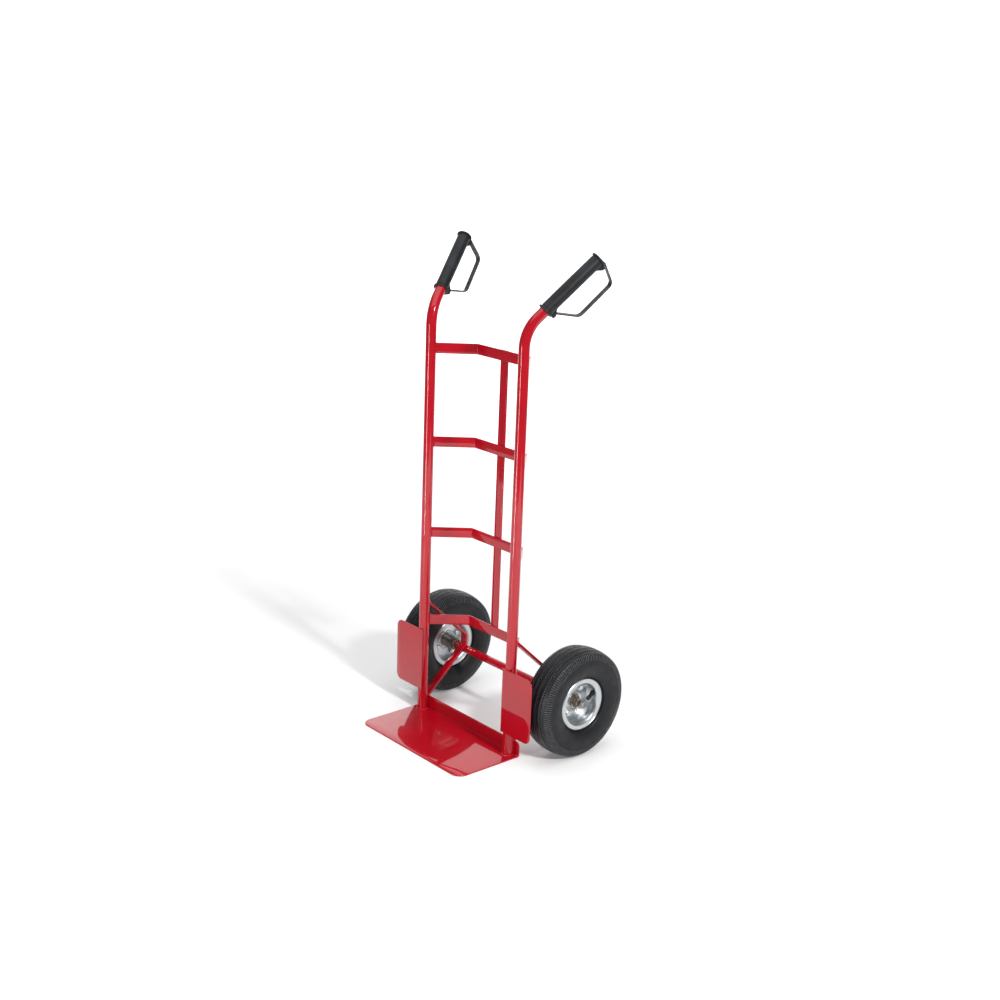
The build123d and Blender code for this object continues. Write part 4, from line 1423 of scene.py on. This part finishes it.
@dataclass(frozen=True)
class AxleHardware:
    """What keeps a wheel on the axle: a collar inside, a washer and a split pin outside."""

    side: Side
    finish: Finish
    bore: float = 10.05 * MM
    wire: float = 0.95 * MM
    chamfer: float = 0.5 * MM
    eye: float = 3.4 * MM
    eye_height: float = 15.4 * MM

    def build(self) -> None:
        """Builds the three pieces."""
        tag = self.side.label
        centre, place = middle("axle") * [0.0, 1.0, 1.0], mirrored(self.side)
        for node, name in (("stop_collar", "collar_ring"), ("axle_washer", "washer_ring")):
            start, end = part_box(f"{node}_right")
            outer = (end.y - start.y) / 2
            profile = chamfered_ring(self.bore, outer, start.x, end.x, self.chamfer)
            ring = Surface().add(lathe(profile, 64) + centre, (True, True))
            dress(ring.build(f"{name}_{tag}", place), self.finish, "frame", [f"{node}_{tag}"])
        spot = centre + [middle("split_pin_right")[0], 0.0, 0.0]
        grid = sweep(self.pin_path() + spot, circle(self.wire, 12), (1, 0, 0))
        piece = Surface().add(grid).build(f"split_pin_wire_{tag}", place, 60)
        dress(piece, self.finish, "frame", [f"split_pin_{tag}"])

    def pin_path(self) -> Array:
        """The pin's wire about the axle's middle: up one leg, round the eye and down the other.

        Returns:
            Points along the wire.
        """
        gap = self.wire
        t = np.radians(np.linspace(-62, 242, 29))
        eye = joined(0.0, self.eye * np.cos(t), self.eye_height + self.eye * np.sin(t))
        corners = [(0, 5.2 * MM, -24.0 * MM), (0, gap, -17.0 * MM), (0, gap, 10.2 * MM)]
        right = rounded_path(corners, [4.0 * MM], 8.0)
        left = right * [1, -1, 1]
        return np.concatenate([right, eye, left[::-1]])


# ---- studio


@dataclass(frozen=True)
class Softbox:
    """A rectangular light that faces the truck."""

    spot: tuple[float, float, float]
    size: tuple[float, float]
    power: float
    target: tuple[float, float, float] = (0.0, 0.05, 0.5)

    def build(self, name: str) -> None:
        """Adds the light, its back to the room and its face to the target."""
        lamp = bpy.data.lights.new(name, "AREA")
        lamp.shape, lamp.energy = "RECTANGLE", self.power
        lamp.size, lamp.size_y = self.size
        holder = bpy.data.objects.new(name, lamp)
        holder.visible_camera = False
        bpy.context.scene.collection.objects.link(holder)
        away = unit(np.array(self.spot) - self.target)
        right = unit(np.cross([0.0, 0.0, 1.0], away))
        axes = np.stack([right, np.cross(away, right), away], 1)
        holder.matrix_world = Matrix.Translation(self.spot) @ Matrix(axes.tolist()).to_4x4()


@dataclass(frozen=True)
class Studio:
    """A pale floor, soft light and the camera."""

    azimuth: float = math.radians(48.341)
    elevation: float = math.radians(16.324)
    roll: float = math.radians(2.186)
    distance: float = 3.484948
    slide: tuple[float, float] = (-0.069845, -0.077293)
    focal: float = 1.505159
    sensor: float = 36.0
    aim_height: float = 0.5
    paper: tuple = (shade(0.88, 0.88, 0.885), shade(0.90, 0.90, 0.905))
    glow: tuple = (0.9, 3.2, 0.08, 0.75)
    room_light: float = 0.17

    def axes(self) -> Array:
        """The camera's right, up and back directions, one per row."""
        a, e, r = self.azimuth, self.elevation, self.roll
        back = np.array([math.sin(a) * math.cos(e), -math.cos(a) * math.cos(e), math.sin(e)])
        right = np.array([math.cos(a), math.sin(a), 0.0])
        up = np.cross(back, right)
        level, lift = math.cos(r) * right + math.sin(r) * up, math.cos(r) * up - math.sin(r) * right
        return np.array([level, lift, back])

    def build(self) -> None:
        """Builds the whole studio."""
        self.build_camera()
        self.build_floor()
        self.build_light()

    def build_camera(self) -> None:
        """The camera, level with the truck's middle apart from a slight roll."""
        level, lift, back = self.axes()
        lens = bpy.data.cameras.new("camera")
        lens.sensor_width, lens.lens = self.sensor, self.focal * self.sensor
        lens.clip_start, lens.clip_end = 0.05, 100.0
        holder = bpy.data.objects.new("camera", lens)
        bpy.context.scene.collection.objects.link(holder)
        spot = self.distance * back - self.slide[0] * level - self.slide[1] * lift
        spot += [0.0, 0.0, self.aim_height]
        turn = Matrix(np.stack([level, lift, back], 1).tolist()).to_4x4()
        holder.matrix_world = Matrix.Translation(spot) @ turn
        bpy.context.scene.camera = holder

    def build_floor(self) -> None:
        """A pale sheet of paper on the floor that runs up behind the truck."""
        path = rounded_path([(0, -2.2, 0), (0, 3.4, 0), (0, 3.4, 3.4)], [1.4], 3.0)
        path = np.concatenate([np.linspace(path[0], path[1], 12), path[2:]])
        half = 2.1 + 0.9 * smooth_step(path[:, 1], 0.4, 2.0)
        grid = path[:, None] + (np.linspace(-1, 1, 5) * half[:, None])[..., None] * np.array([1.0, 0, 0])
        floor = Surface().add(grid, (False, False), False).build("floor", self.turned)
        g = Graph("floor_paper", Roughness=0.8, Specular_IOR_Level=0.1)
        colour = g.mix(g.ramp(g.noise(1.5, 3.0), 0.3, 0.7), *self.paper)
        g.shader.inputs["Emission Color"].default_value = shade(1.0, 1.0, 1.0)
        away = g.node("ShaderNodeVectorMath", {0: g.place}, operation="LENGTH").outputs["Value"]
        glow = g.ramp(away, *self.glow)
        floor.data.materials.append(g.wire(Base_Color=colour, Emission_Strength=glow))

    def turned(self, points: Array) -> Array:
        """Turns points so that their Y runs away from the camera and their X to its right."""
        c, s = math.cos(self.azimuth), math.sin(self.azimuth)
        x, y = points[..., 0], points[..., 1]
        return np.stack([x * c - y * s, x * s + y * c, points[..., 2]], -1)

    def build_light(self) -> None:
        """A small hard key from the right, a soft roof, a strip on the left and a dim room."""
        boxes = {
            "key_light": Softbox(self.spot(1.84, -2.6, 2.5), (0.34, 0.34), 100.0),
            "roof_light": Softbox(self.spot(0.0, -0.2, 3.2), (4.0, 4.0), 70.0),
            "strip_light": Softbox(self.spot(-1.02, -0.92, 0.42), (0.11, 0.8), 7.0),
        }
        for name, box in boxes.items():
            box.build(name)
        world = bpy.data.worlds.new("room")
        world.use_nodes = True
        bpy.context.scene.world = world
        sky = world.node_tree.nodes["Background"]
        sky.inputs["Color"].default_value = shade(1.0, 1.0, 1.0)
        sky.inputs["Strength"].default_value = self.room_light
        bpy.context.scene.view_settings.view_transform = "Standard"

    def spot(self, right: float, away: float, up: float) -> tuple[float, float, float]:
        """A place given as seen from the camera."""
        return tuple(float(value) for value in self.turned(np.array([right, away, up])))


def main() -> None:
    """Builds the truck's looks and its studio, piece by piece."""
    logging.basicConfig(level=logging.INFO, format="%(name)s %(message)s")
    finishes = Finishes.make(tuple(middle("axle")[1:]))
    handle = HandleFrame(middle("axle_bracket_right")[0])
    Studio().build()
    WeldedFrame(finishes.red, finishes.rust, handle).build()
    for side, turn in ((Side.RIGHT, 57.0), (Side.LEFT, 25.0)):
        Grip(handle, finishes).build(side)
        Wheel(side, finishes, math.radians(turn)).build()
        AxleHardware(side, finishes.rust).build()


if __name__ == "__main__":
    main()
